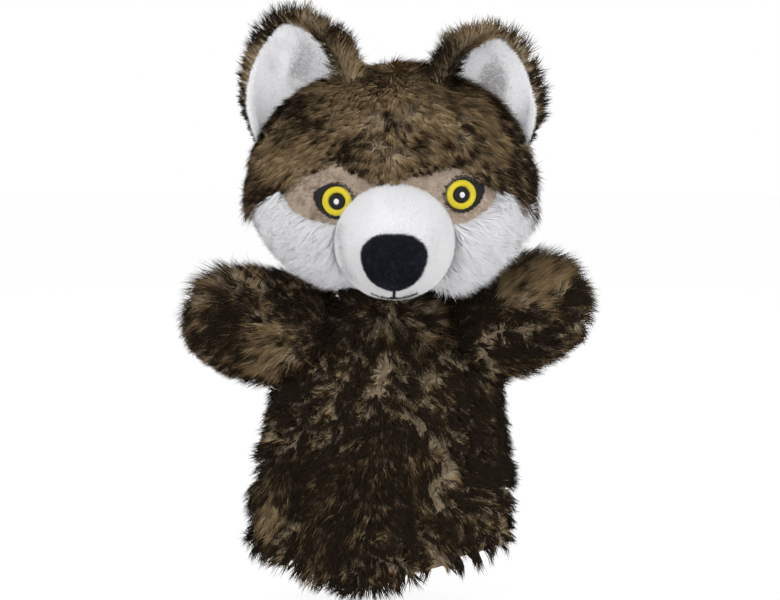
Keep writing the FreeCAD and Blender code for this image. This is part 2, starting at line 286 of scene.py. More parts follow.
def hashed(cells: np.ndarray, seed: int) -> np.ndarray:
    """A steady random number from 0 to 1 for each whole-number cell."""
    n = cells[:, 0] * 73856093 ^ cells[:, 1] * 19349663 ^ cells[:, 2] * 83492791 ^ (seed * 971 + 7) * 2654435
    n = (n ^ (n >> 13)) * 1274126177 & 0x7FFFFFFF
    n = (n ^ (n >> 15)) * 668265263 & 0x7FFFFFFF
    return ((n ^ (n >> 14)) & 0xFFFFF) / float(0xFFFFF)


def soft_noise(points: np.ndarray, cell: float, seed: int) -> np.ndarray:
    """Smooth noise from 0 to 1 that changes over about one cell."""
    scaled = points / cell
    base = np.floor(scaled).astype(np.int64)
    part = scaled - base
    part = part * part * (3 - 2 * part)
    total = np.zeros(len(points))
    for corner in itertools.product((0, 1), repeat=3):
        weight = np.ones(len(points))
        for axis in range(3):
            weight *= part[:, axis] if corner[axis] else 1 - part[:, axis]
        total += weight * hashed(base + np.array(corner), seed)
    return total


def layered_noise(points: np.ndarray, cell: float, seed: int) -> np.ndarray:
    """Three sizes of noise together, from 0 to 1."""
    return (soft_noise(points, cell, seed) * 0.58 + soft_noise(points, cell / 2.1, seed + 11) * 0.28
            + soft_noise(points, cell / 4.3, seed + 23) * 0.14)


def nearest_clump(points: np.ndarray, cell: float, seed: int) -> tuple[np.ndarray, np.ndarray]:
    """The middle of the tuft that each point belongs to.

    Args:
        points: Root positions.
        cell: About the distance between tufts.
        seed: Picks the layout.

    Returns:
        Each point's tuft centre, and a random number from 0 to 1 per tuft.
    """
    base = np.floor(points / cell).astype(np.int64)
    best = np.full(len(points), np.inf)
    centre = np.zeros_like(points)
    number = np.zeros(len(points))
    for offset in itertools.product((-1, 0, 1), repeat=3):
        around = base + np.array(offset)
        spot = np.stack([hashed(around, seed + k) for k in range(3)], axis=1)
        spot = (around + spot) * cell
        gap = ((points - spot) ** 2).sum(axis=1)
        closer = gap < best
        best[closer] = gap[closer]
        centre[closer] = spot[closer]
        number[closer] = hashed(around[closer], seed + 5)
    return centre, number


# --------------------------------------------------------------------------
# Mesh helpers
# --------------------------------------------------------------------------
def deselect() -> None:
    """Leave nothing selected or active."""
    if bpy.context.object and bpy.context.object.mode != "OBJECT":
        bpy.ops.object.mode_set(mode="OBJECT")
    bpy.ops.object.select_all(action="DESELECT")


def select_only(piece: bpy.types.Object) -> None:
    """Make this the one selected and active object."""
    deselect()
    piece.select_set(True)
    bpy.context.view_layer.objects.active = piece


def mesh_object(name: str, points: np.ndarray, faces: list, material: bpy.types.Material) -> bpy.types.Object:
    """Make a smooth mesh object from points and faces."""
    mesh = bpy.data.meshes.new(name)
    mesh.from_pydata([tuple(p) for p in points], [], [tuple(f) for f in faces])
    mesh.materials.append(material)
    mesh.shade_smooth()
    piece = bpy.data.objects.new(name, mesh)
    bpy.context.scene.collection.objects.link(piece)
    return piece


def apply_modifier(piece: bpy.types.Object, kind: str, **values: object) -> None:
    """Add one modifier, set it and apply it."""
    select_only(piece)
    modifier = piece.modifiers.new(kind.lower(), kind)
    for name, value in values.items():
        setattr(modifier, name, value)
    bpy.ops.object.modifier_apply(modifier=modifier.name)


def smooth_form(piece: bpy.types.Object, levels: int) -> None:
    """Round a form off with an applied subdivision surface."""
    apply_modifier(piece, "SUBSURF", levels=levels, render_levels=levels)
    piece.data.shade_smooth()


def move_points(piece: bpy.types.Object, change: Field) -> None:
    """Shape a mesh by a function of its points."""
    points = np.zeros(len(piece.data.vertices) * 3)
    piece.data.vertices.foreach_get("co", points)
    points = change(points.reshape(-1, 3))
    piece.data.vertices.foreach_set("co", points.ravel())
    piece.data.update()


def face_outwards(piece: bpy.types.Object) -> None:
    """Turn every face of a closed form outwards."""
    select_only(piece)
    bpy.ops.object.mode_set(mode="EDIT")
    bpy.ops.mesh.select_all(action="SELECT")
    bpy.ops.mesh.remove_doubles(threshold=1e-6)
    bpy.ops.mesh.normals_make_consistent(inside=False)
    bpy.ops.object.mode_set(mode="OBJECT")


def ring_form(name: str, rings: Sequence[tuple[Vector, float, float]], along: Vector, segments: int = 64,
              close_start: bool = False, close_end: bool = False) -> bpy.types.Object:
    """Draw a soft tube out of one ring, ring by ring.

    Args:
        name: The piece's name.
        rings: Each ring's centre and its two half-sizes.
        along: Direction that the tube is drawn in: +Z, or +X.
        segments: Points round a ring.
        close_start: Close the first ring to a point.
        close_end: Close the last ring to a point.

    Returns:
        The new piece, open where it isn't closed.
    """
    deselect()
    turn = (0.0, 0.0, 0.0) if along.z else (0.0, math.pi / 2, 0.0)
    centre, first, second = rings[0]
    bpy.ops.mesh.primitive_circle_add(vertices=segments, radius=1.0, location=(0, 0, 0), rotation=turn)
    piece = bpy.context.object
    bpy.ops.object.transform_apply(location=True, rotation=True, scale=True)
    piece.name = piece.data.name = name

    def size(a: float, b: float) -> tuple[float, float, float]:
        return (a, b, 1.0) if along.z else (1.0, a, b)

    bpy.ops.object.mode_set(mode="EDIT")
    bpy.ops.mesh.select_mode(type="VERT")
    bpy.ops.mesh.select_all(action="SELECT")
    bpy.ops.transform.resize(value=size(first, second), center_override=(0, 0, 0))
    bpy.ops.transform.translate(value=centre)
    if close_start:
        bpy.ops.mesh.extrude_region_move()
        bpy.ops.mesh.merge(type="CENTER")
        bpy.ops.mesh.select_all(action="DESELECT")
        bpy.ops.object.mode_set(mode="OBJECT")
        for vertex in piece.data.vertices[:segments]:
            vertex.select = True
        bpy.ops.object.mode_set(mode="EDIT")
    for before, after in zip(rings, rings[1:]):
        bpy.ops.mesh.extrude_region_move(TRANSFORM_OT_translate={"value": after[0] - before[0]})
        bpy.ops.transform.resize(value=size(after[1] / before[1], after[2] / before[2]), center_override=after[0])
    if close_end:
        bpy.ops.mesh.extrude_region_move()
        bpy.ops.mesh.merge(type="CENTER")
    bpy.ops.object.mode_set(mode="OBJECT")
    face_outwards(piece)
    return piece


def ball_form(name: str, centre: Vector, half: Vector, segments: int = 64, rings: int = 44) -> bpy.types.Object:
    """A stuffed ball with three half-sizes."""
    deselect()
    bpy.ops.mesh.primitive_uv_sphere_add(segments=segments, ring_count=rings, radius=1.0)
    piece = bpy.context.object
    piece.name = piece.data.name = name
    bpy.ops.object.mode_set(mode="EDIT")
    bpy.ops.mesh.select_all(action="SELECT")
    bpy.ops.transform.resize(value=half, center_override=(0, 0, 0))
    bpy.ops.transform.translate(value=centre)
    bpy.ops.object.mode_set(mode="OBJECT")
    return piece


@dataclass
class Surface:
    """A form's triangles, ready for hairs to be planted on."""

    corners: np.ndarray
    normals: np.ndarray
    areas: np.ndarray

    @classmethod
    def of(cls, piece: bpy.types.Object) -> "Surface":
        """Read a piece's triangles and smooth normals."""
        mesh = piece.data
        mesh.calc_loop_triangles()
        count = len(mesh.loop_triangles)
        index = np.zeros(count * 3, dtype=np.int64)
        mesh.loop_triangles.foreach_get("vertices", index)
        index = index.reshape(-1, 3)
        points = np.zeros(len(mesh.vertices) * 3)
        mesh.vertices.foreach_get("co", points)
        normals = np.zeros(len(mesh.vertices) * 3)
        mesh.vertices.foreach_get("normal", normals)
        corners = points.reshape(-1, 3)[index]
        sides = np.cross(corners[:, 1] - corners[:, 0], corners[:, 2] - corners[:, 0])
        return cls(corners, normals.reshape(-1, 3)[index], np.linalg.norm(sides, axis=1) / 2)

    def scatter(self, per_square_mm: float, keep: Optional[Field], rng: np.random.Generator) -> tuple[np.ndarray, np.ndarray]:
        """Spread roots evenly over the surface.

        Args:
            per_square_mm: How many roots a square millimetre gets.
            keep: Gives the chance, from 0 to 1, that a root at a point stays.
            rng: Source of random numbers.

        Returns:
            Root points and surface normals.
        """
        total = self.areas.sum()
        count = int(total / (MM * MM) * per_square_mm)
        pick = np.searchsorted(np.cumsum(self.areas), rng.random(count) * total)
        pick = np.minimum(pick, len(self.areas) - 1)
        a, b = rng.random(count), rng.random(count)
        flip = a + b > 1
        a[flip], b[flip] = 1 - a[flip], 1 - b[flip]
        weights = np.stack([1 - a - b, a, b], axis=1)[:, :, None]
        points = (self.corners[pick] * weights).sum(axis=1)
        normals = unit((self.normals[pick] * weights).sum(axis=1))
        if keep is not None:
            stays = rng.random(count) < keep(points)
            points, normals = points[stays], normals[stays]
        return points, normals


@dataclass
class Pile:
    """How one cloth's pile grows: its hairs' size, lie, tufts and partings."""

    length: float = 9.5 * MM
    width: float = 0.46 * MM
    per_square_mm: float = 3.0
    root_lean: float = 32.0
    tip_lean: float = 66.0
    tuft: float = 2.3 * MM
    tuft_pull: float = 0.72
    stray: float = 0.22
    swirl: float = 0.45
    swirl_size: float = 14 * MM
    parting_share: float = 0.0
    parting_cell: float = 30 * MM
    parting_width: float = 7.5 * MM
    parting_light: float = 0.34
    tuft_shade: float = 0.55
    mottle_size: float = 17 * MM
    mottle_shift: float = 0.0
    mottle_gain: float = 1.7
    normal_share: float = 0.55

    def grow(self, name: str, surface: Surface, comb: Field, finish: PileFinish, seed: int,
             keep: Optional[Field] = None, trim: Optional[Field] = None,
             tone: Optional[Field] = None) -> bpy.types.Object:
        """Plant the pile on a surface as one piece of tapered blades.

        Args:
            name: The piece's name.
            surface: Where the roots stand.
            comb: Gives the direction that the pile is brushed in at each root.
            finish: The pile's colours.
            seed: Starts this piece's random numbers.
            keep: Gives the chance that a root stays.
            trim: Gives each hair's share of the full length.
            tone: Gives how much lighter or darker than usual each hair is; on several pieces this is painted shade and
                painted light.

        Returns:
            The new piece.
        """
        rng = np.random.default_rng(seed)
        share = 1.0
        roots, normals = surface.scatter(self.per_square_mm * share, keep, rng)
        count = len(roots)
        centre, tuft_number = nearest_clump(roots, self.tuft, 40)
        near = roots + (centre - roots) * 0.8
        lie = unit(comb(near))
        swirl = np.stack([soft_noise(near, self.swirl_size, 70 + k) - 0.5 for k in range(3)], axis=1) * 2
        lie = lie + swirl * self.swirl + (rng.random((count, 3)) - 0.5) * 2 * self.stray
        lie = lie + (np.stack([hashed((centre / (0.1 * MM)).astype(np.int64), 80 + k) for k in range(3)], axis=1)
                     - 0.5) * 0.5
        lie, flat = self.part(near, lie, tuft_number)
        across = (lie * normals).sum(axis=1, keepdims=True) * normals
        lie = unit(lie - across)
        low = np.radians(self.root_lean + 20 * flat + rng.normal(0, 6, count))
        high = np.radians(np.minimum(self.tip_lean + 16 * flat + rng.normal(0, 8, count), 88))
        size = self.length * (0.82 + 0.3 * rng.random(count)) * (0.85 + 0.3 * tuft_number) * (1 - 0.18 * flat)
        if trim is not None:
            size = size * trim(roots)
        pull = centre - roots
        pull = pull - (pull * normals).sum(axis=1, keepdims=True) * normals
        pull = pull * (self.tuft_pull * (0.8 + 0.4 * tuft_number))[:, None]
        lower = normals * np.cos(low)[:, None] + lie * np.sin(low)[:, None]
        upper = normals * np.cos(high)[:, None] + lie * np.sin(high)[:, None]
        start = roots - normals * 0.4 * MM
        middle = start + lower * (size * 0.5)[:, None] + pull * 0.35
        end = middle + upper * (size * 0.5)[:, None] + pull * 0.65
        side = unit(np.cross(unit(end - start), normals))
        side = unit(side + normals * rng.normal(0, 0.35, count)[:, None])
        wide = self.width * (0.75 + 0.5 * rng.random(count)) * 1.0
        mottle = layered_noise(roots, self.mottle_size, 5)
        shade = 0.5 + (mottle - 0.5) * self.mottle_gain + self.mottle_shift
        spread = hashed((centre / (0.1 * MM)).astype(np.int64), 91) - 0.5
        shade = shade + spread * self.tuft_shade + flat * self.parting_light + rng.normal(0, 0.08, count)
        shade = shade - np.where(tuft_number > 0.74, 0.5, 0.0) * np.clip(flat * 20, 0, 1)
        if tone is not None:
            shade = shade + tone(roots)
        return self.blades(name, start, middle, end, side * wide[:, None] / 2, normals, np.clip(shade, 0.02, 0.98),
                           finish)

    def part(self, roots: np.ndarray, lie: np.ndarray, tuft_number: np.ndarray) -> tuple[np.ndarray, np.ndarray]:
        """Open wandering, branching partings, where hairs lie away from a line.

        Args:
            roots: Root points.
            lie: The pile's directions so far.
            tuft_number: Each hair's tuft, as a random number; some tufts stand up inside a parting.

        Returns:
            The changed directions, and how flat each hair is pressed, from 0 to 1.
        """
        flat = np.zeros(len(roots))
        if self.parting_share == 0:
            return lie, flat
        step = 0.4 * MM
        for seed in (150, 170):
            def height(points: np.ndarray) -> np.ndarray:
                return layered_noise(points, self.parting_cell, seed) - 0.5

            line = height(roots)
            slope = np.stack([(height(roots + np.eye(3)[k] * step) - line) / step for k in range(3)], axis=1)
            steep = np.linalg.norm(slope, axis=1) + 1e-6
            gap = line / steep
            where = soft_noise(roots, self.parting_cell * 0.9, seed + 5)
            open_here = np.clip((where - (1 - self.parting_share)) * 7, 0, 1)
            weight = np.exp(-(gap / self.parting_width) ** 2) * open_here
            weight = weight * np.where(tuft_number > 0.74, 0.2, 1.0)
            away = slope / steep[:, None] * np.sign(line)[:, None]
            lie = lie * (1 - weight[:, None]) + away * weight[:, None] * 1.6
            flat = np.maximum(flat, weight)
        return lie, flat

    def blades(self, name: str, start: np.ndarray, middle: np.ndarray, end: np.ndarray, half: np.ndarray,
               normals: np.ndarray, shade: np.ndarray, finish: PileFinish) -> bpy.types.Object:
        """Build one mesh of blades: a quad below and a triangle above each.

        Args:
            name: The piece's name.
            start: Root ends.
            middle: Middles.
            end: Tips.
            half: Half a blade's width, across it.
            normals: The cloth's normals at the roots.
            shade: Each hair's place between dark and light.
            finish: The pile's colours.

        Returns:
            The new piece.
        """
        count = len(start)
        points = np.stack([start - half, start + half, middle - half * 0.85, middle + half * 0.85, end], axis=1)
        first = np.arange(count)[:, None] * 5
        quads = first + np.array([0, 1, 3, 2])
        tips = first + np.array([2, 3, 4])
        corners = np.concatenate([quads, tips], axis=1).ravel()
        starts = (np.arange(count)[:, None] * 7 + np.array([0, 4])).ravel()
        mesh = bpy.data.meshes.new(name)
        mesh.vertices.add(count * 5)
        mesh.vertices.foreach_set("co", points.ravel().astype(np.float32))
        mesh.loops.add(count * 7)
        mesh.loops.foreach_set("vertex_index", corners.astype(np.int32))
        mesh.polygons.add(count * 2)
        mesh.polygons.foreach_set("loop_start", starts.astype(np.int32))
        mesh.polygons.foreach_set("use_smooth", np.ones(count * 2, dtype=bool))
        mesh.update(calc_edges=True)
        layer = mesh.uv_layers.new(name=MAP_NAME)
        left, right = shade - 0.004, shade + 0.004
        low, mid, top = np.full(count, 0.02), np.full(count, 0.5), np.full(count, 0.98)
        uv = np.stack([left, low, right, low, right, mid, left, mid, left, mid, right, mid, shade, top], axis=1)
        layer.data.foreach_set("uv", uv.ravel().astype(np.float32))
        across = unit(np.cross(end - start, half))
        across = across * np.sign((across * normals).sum(axis=1, keepdims=True) + 1e-9)
        bend = unit(across * (1 - self.normal_share) + normals * self.normal_share)
        mesh.normals_split_custom_set_from_vertices(np.repeat(bend, 5, axis=0).astype(np.float32))
        mesh.materials.append(finish.material())
        piece = bpy.data.objects.new(name, mesh)
        bpy.context.scene.collection.objects.link(piece)
        LOG.info("%s: %d hairs", name, count)
        return piece


@dataclass
class ShortPile:
    """Clipped plush: one tiny blade a hair, almost upright."""

    length: float = 1.4 * MM
    width: float = 0.34 * MM
    per_square_mm: float = 8.0
    lean: float = 38.0
    clump: float = 1.8 * MM
    clump_shade: float = 0.1
    mottle: float = 0.25
    spread: float = 0.05
    normal_share: float = 1.0

    def grow(self, name: str, surface: Surface, comb: Field, finish: PileFinish, seed: int,
             keep: Optional[Field] = None, tone: Optional[Field] = None) -> bpy.types.Object:
        """Plant clipped pile on a surface as one piece, as Pile.grow does."""
        rng = np.random.default_rng(seed)
        share = 1.0
        roots, normals = surface.scatter(self.per_square_mm * share, keep, rng)
        count = len(roots)
        lie = unit(comb(roots)) + (rng.random((count, 3)) - 0.5) * 1.3
        swirl = np.stack([soft_noise(roots, 9 * MM, 90 + k) - 0.5 for k in range(3)], axis=1)
        lie = lie + swirl * 2.2
        lie = unit(lie - (lie * normals).sum(axis=1, keepdims=True) * normals)
        lean = np.radians(self.lean + rng.normal(0, 9, count))[:, None]
        size = (self.length * (0.8 + 0.4 * rng.random(count)))[:, None]
        start = roots - normals * 0.3 * MM
        end = start + (normals * np.cos(lean) + lie * np.sin(lean)) * (size + 0.3 * MM)
        side = unit(np.cross(end - start, normals)) * (self.width / 2 * 1.0)
        points = np.stack([start - side, start + side, end], axis=1)
        mesh = bpy.data.meshes.new(name)
        mesh.vertices.add(count * 3)
        mesh.vertices.foreach_set("co", points.ravel().astype(np.float32))
        mesh.loops.add(count * 3)
        mesh.loops.foreach_set("vertex_index", np.arange(count * 3, dtype=np.int32))
        mesh.polygons.add(count)
        mesh.polygons.foreach_set("loop_start", np.arange(count, dtype=np.int32) * 3)
        mesh.polygons.foreach_set("use_smooth", np.ones(count, dtype=bool))
        mesh.update(calc_edges=True)
        _, clump = nearest_clump(roots, self.clump, 35)
        shade = 0.62 + (layered_noise(roots, 6 * MM, 33) - 0.5) * self.mottle + rng.normal(0, self.spread, count)
        shade = shade + (clump - 0.5) * self.clump_shade
        shade = np.clip(shade + (tone(roots) if tone is not None else 0), 0.02, 0.98)
        uv = np.stack([shade - 0.004, np.full(count, 0.1), shade + 0.004, np.full(count, 0.1), shade,
                       np.full(count, 0.98)], axis=1)
        mesh.uv_layers.new(name=MAP_NAME).data.foreach_set("uv", uv.ravel().astype(np.float32))
        across = unit(np.cross(end - start, side))
        across = across * np.sign((across * normals).sum(axis=1, keepdims=True) + 1e-9)
        bend = unit(across * (1 - self.normal_share) + normals * self.normal_share)
        mesh.normals_split_custom_set_from_vertices(np.repeat(bend, 3, axis=0).astype(np.float32))
        mesh.materials.append(finish.material())
        piece = bpy.data.objects.new(name, mesh)
        bpy.context.scene.collection.objects.link(piece)
        LOG.info("%s: %d short hairs", name, count)
        return piece


# --------------------------------------------------------------------------
# The puppet's pieces
# --------------------------------------------------------------------------
def finish_piece(piece: bpy.types.Object, body: str, slot: str, *replaced: str) -> bpy.types.Object:
    """Tie a piece to its body and hide the plain solids that it stands for."""
    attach(piece, body)
    if replaced:
        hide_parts(*replaced)
    LOG.info("piece %s on %s", piece.name, body)
    return piece


def mirror_points(points: np.ndarray, side: float) -> np.ndarray:
    """Mirror points across the middle plane for the right side."""
    return points * np.array([side, 1.0, 1.0])


def place_piece(piece: bpy.types.Object, place: Matrix, side: float) -> None:
    """Put a piece modelled at the origin in its place, mirrored on the right side."""
    matrix = np.array(place)
    move_points(piece, lambda p: mirror_points(p @ matrix[:3, :3].T + matrix[:3, 3], side))
    if side < 0:
        select_only(piece)
        bpy.ops.object.mode_set(mode="EDIT")
        bpy.ops.mesh.select_all(action="SELECT")
        bpy.ops.mesh.flip_normals()
        bpy.ops.object.mode_set(mode="OBJECT")


def to_local(points: np.ndarray, place: Matrix, side: float) -> np.ndarray:
    """Points in the coordinates that a placed piece was modelled in."""
    matrix = np.array(place.inverted())
    return mirror_points(points, side) @ matrix[:3, :3].T + matrix[:3, 3]


def turn_out(vectors: np.ndarray, place: Matrix, side: float) -> np.ndarray:
    """Directions from a placed piece's own coordinates into the frame's."""
    return mirror_points(vectors @ np.array(place)[:3, :3].T, side)


def drop_faces(piece: bpy.types.Object, goes: Field) -> None:
    """Cut away the faces whose middles a test picks."""
    centres = np.zeros(len(piece.data.polygons) * 3)
    piece.data.polygons.foreach_get("center", centres)
    picked = goes(centres.reshape(-1, 3))
    select_only(piece)
    bpy.ops.object.mode_set(mode="EDIT")
    bpy.ops.mesh.select_all(action="DESELECT")
    bpy.ops.mesh.select_mode(type="FACE")
    bpy.ops.object.mode_set(mode="OBJECT")
    piece.data.polygons.foreach_set("select", picked)
    bpy.ops.object.mode_set(mode="EDIT")
    bpy.ops.mesh.delete(type="FACE")
    bpy.ops.mesh.select_mode(type="VERT")
    bpy.ops.object.mode_set(mode="OBJECT")


@dataclass
class Shoulder:
    """Where an arm turns, and the room that the glove's cloth leaves it."""

    name: str
    spread: float = 40 * MM
    back: float = 2 * MM
    height: float = 120 * MM
    rise: dict = field(default_factory=lambda: {"left": 18.0, "right": 4.0})
    ball: float = 22 * MM

    @property
    def side(self) -> float:
        """+1 on the puppet's left, -1 on its right."""
        return SIDES[self.name]

    def place(self) -> Matrix:
        """The arm's own axes, along +X, in the frame."""
        turn = Matrix.Rotation(math.radians(-self.rise[self.name]), 4, "Y")
        return Matrix.Translation((self.spread, self.back, self.height)) @ turn

    def room(self, points: np.ndarray, clear: float) -> np.ndarray:
        """Whether each point lies in the ball that the arm's root turns in."""
        centre = np.array([self.side * self.spread, self.back, self.height])
        return np.linalg.norm(points - centre, axis=1) < self.ball + clear


@dataclass
class GloveBag:
    """The bag that holds the palm: dark plush outside, a woven lining and a hem facing."""

    levels: tuple = ((56, 30, 0), (57, 30.8, 14), (57, 31, 30), (55.4, 31, 48), (53.4, 31, 66), (51.6, 30.2, 79),
                     (50, 29, 90), (48.4, 27.7, 100), (46, 26, 110), (41.5, 23, 117), (35, 19.6, 122.5),
                     (26, 17.6, 127.5), (19, 17.2, 132), (18.2, 18.2, 138), (18.6, 18.6, 143), (17.3, 17.3, 149))
    hem_lift: float = 5 * MM
    hem_middle: float = -11.0
    hem_slopes: tuple = (0.27, 0.38)
    hem_corner: float = 15.5 * MM
    fold_count: int = 12
    fold_depth: float = 1.5 * MM
    sway: float = 5 * MM
    inset: float = 1.2
    neck_top: float = 137 * MM
    cloth: float = 1.6 * MM
    # mottle_shift darkens the whole body's pile more than the head's, though the fabric is the same: painted shade.
    pile: Pile = field(default_factory=lambda: Pile(parting_share=0.55, per_square_mm=3.0, length=10.5 * MM,
                                                    mottle_shift=-0.12, mottle_gain=1.2))

    def form(self, name: str, inset: float, low: float, high: float) -> bpy.types.Object:
        """Draw the bag, smaller all round by an inset, between two heights in millimetres."""
        rings = [(Vector((0, 0, z * MM)), (a - inset) * MM, (b - inset) * MM) for a, b, z in self.levels
                 if low <= z <= high]
        piece = ring_form(name, rings, Vector((0, 0, 1)), 72)
        smooth_form(piece, 1)
        move_points(piece, self.slack)
        return piece

    def slack(self, points: np.ndarray) -> np.ndarray:
        """Fold the empty bag softly, lift the hem's corners and let the cloth wander a little."""
        x, y, z = points.T
        heights, half_wide, half_deep = (np.array([level[k] for level in self.levels]) * MM for k in (2, 0, 1))
        angle = np.arctan2(y / np.interp(z, heights, half_deep), x / np.interp(z, heights, half_wide))
        fade = np.interp(z / MM, (0, 66, 90, 110, 128), (1, 1, 0.5, 0.2, 0))
        fold = np.cos(self.fold_count * angle) * self.fold_depth * fade
        wave = (layered_noise(points, 26 * MM, 61) - 0.5) * 1.6 * MM * np.clip((128 * MM - z) / (12 * MM), 0, 1)
        out = points.copy()
        out[:, 0] += np.cos(angle) * (fold + wave) - self.sway * np.clip(1 - z / (110 * MM), 0, 1)
        out[:, 1] += np.sin(angle) * (fold + wave)
        aside = x - self.hem_middle * MM
        lift = np.minimum(np.where(aside > 0, *self.hem_slopes) * np.abs(aside), self.hem_corner) + self.hem_lift
        out[:, 2] += lift * np.clip(1 - z / (60 * MM), 0, 1)
        return out

    def comb(self, points: np.ndarray) -> np.ndarray:
        """The body's pile is brushed down and a little outward."""
        x, y, z = points.T
        out = np.stack([x / (56 * MM) * 0.8, y / (30 * MM) * 0.15, np.full(len(x), -1.0)], axis=1)
        swirl = np.stack([soft_noise(points, 24 * MM, 120 + k) - 0.5 for k in range(3)], axis=1)
        collar = np.clip((z - 116 * MM) / (8 * MM), 0, 1)[:, None]
        out = out + swirl * np.array([2.0, 1.0, 1.4])
        rise = np.interp(z / MM, (124, 134), (-0.4, 0.3)) + np.clip((y - 2 * MM) / (6 * MM), 0, 1) * 1.2
        ruff = np.stack([x / (16 * MM), y / (40 * MM), rise], axis=1)
        return out * (1 - collar) + ruff * collar

    def trim(self, points: np.ndarray) -> np.ndarray:
        """The pile is longest at the collar, under the chin, and shorter at the left side."""
        x, _, z = points.T
        collar = np.clip((z - 112 * MM) / (12 * MM), 0, 1) * 0.6
        return (1.12 - 0.12 * np.clip(z / (20 * MM), 0, 1)) * (1 + collar) * np.where(x > 40 * MM, 0.85, 1)

    def tone(self, points: np.ndarray) -> np.ndarray:
        """Painted shade under the chin, where the head shades the chest, and in the creases under the arms; painted
        light at the lit sides; the pile is also lighter low down.
        """
        x, _, z = points.T
        low = np.clip((56 * MM - z) / (30 * MM), 0, 1) * 0.13
        # Painted light: the body's sides are lifted lighter where the lamps catch them.
        rim = np.clip((np.abs(x) - 47 * MM) / (9 * MM), 0, 1) * 0.16
        # Painted shade: the chest is darkened under the head.
        chin = np.clip((z - 96 * MM) / (26 * MM), 0, 1) * 0.16
        # Painted shade in the creases where the arms meet the body.
        crease = np.exp(-((np.abs(x) - 38 * MM) / (12 * MM)) ** 2) * np.clip((z - 80 * MM) / (20 * MM), 0, 1) * 0.25
        return low + rim - chin - crease

    def build(self, shoulders: Sequence[Shoulder]) -> None:
        """Make the outer cloth with its pile, the lining and the hem facing."""
        skin = self.form("glove_cloth", self.inset, 0, 150)
        drop_faces(skin, lambda p: np.any([s.room(p, 0.2 * MM) for s in shoulders], axis=0))
        surface = Surface.of(skin)
        apply_modifier(skin, "SOLIDIFY", thickness=self.cloth, offset=-1.0)
        skin.data.materials.clear()
        skin.data.materials.append(KNIT_TAN.material())
        finish_piece(skin, "glove", "tipped_fur", "body_front_panel", "body_back_panel")

        def open_cloth(points: np.ndarray) -> np.ndarray:
            clear = ~np.any([s.room(points, 0.0) for s in shoulders], axis=0)
            top = self.neck_top + np.where(points[:, 1] > 4 * MM, 8 * MM, 0)
            return (clear & (points[:, 2] < top)).astype(float)

        for label, sign, seed in (("front", -1, 11), ("back", 1, 12)):
            # self.tone adds painted shade under the chin and in the arm creases, and painted light at the sides.
            pile = self.pile.grow(f"glove_{label}_pile", surface, self.comb, WOLF_PILE, seed,
                                  lambda p: open_cloth(p) * (p[:, 1] * sign > 0), self.trim, self.tone)
            finish_piece(pile, "glove", "tipped_fur")

        lining = self.form("glove_lining", 4.4, 0, 123)
        drop_faces(lining, lambda p: np.any([s.room(p, 0.6 * MM) for s in shoulders], axis=0))
        apply_modifier(lining, "SOLIDIFY", thickness=0.8 * MM, offset=-1.0)
        lining.data.materials.append(LINING.material())
        finish_piece(lining, "glove", "lining_cloth", "lining_front", "lining_back")
        facing = self.form("hem_facing_strip", 5.8, 0, 14)
        apply_modifier(facing, "SOLIDIFY", thickness=1.2 * MM, offset=-1.0)
        facing.data.materials.append(LINING.material())
        finish_piece(facing, "glove", "lining_cloth", "hem_facing")


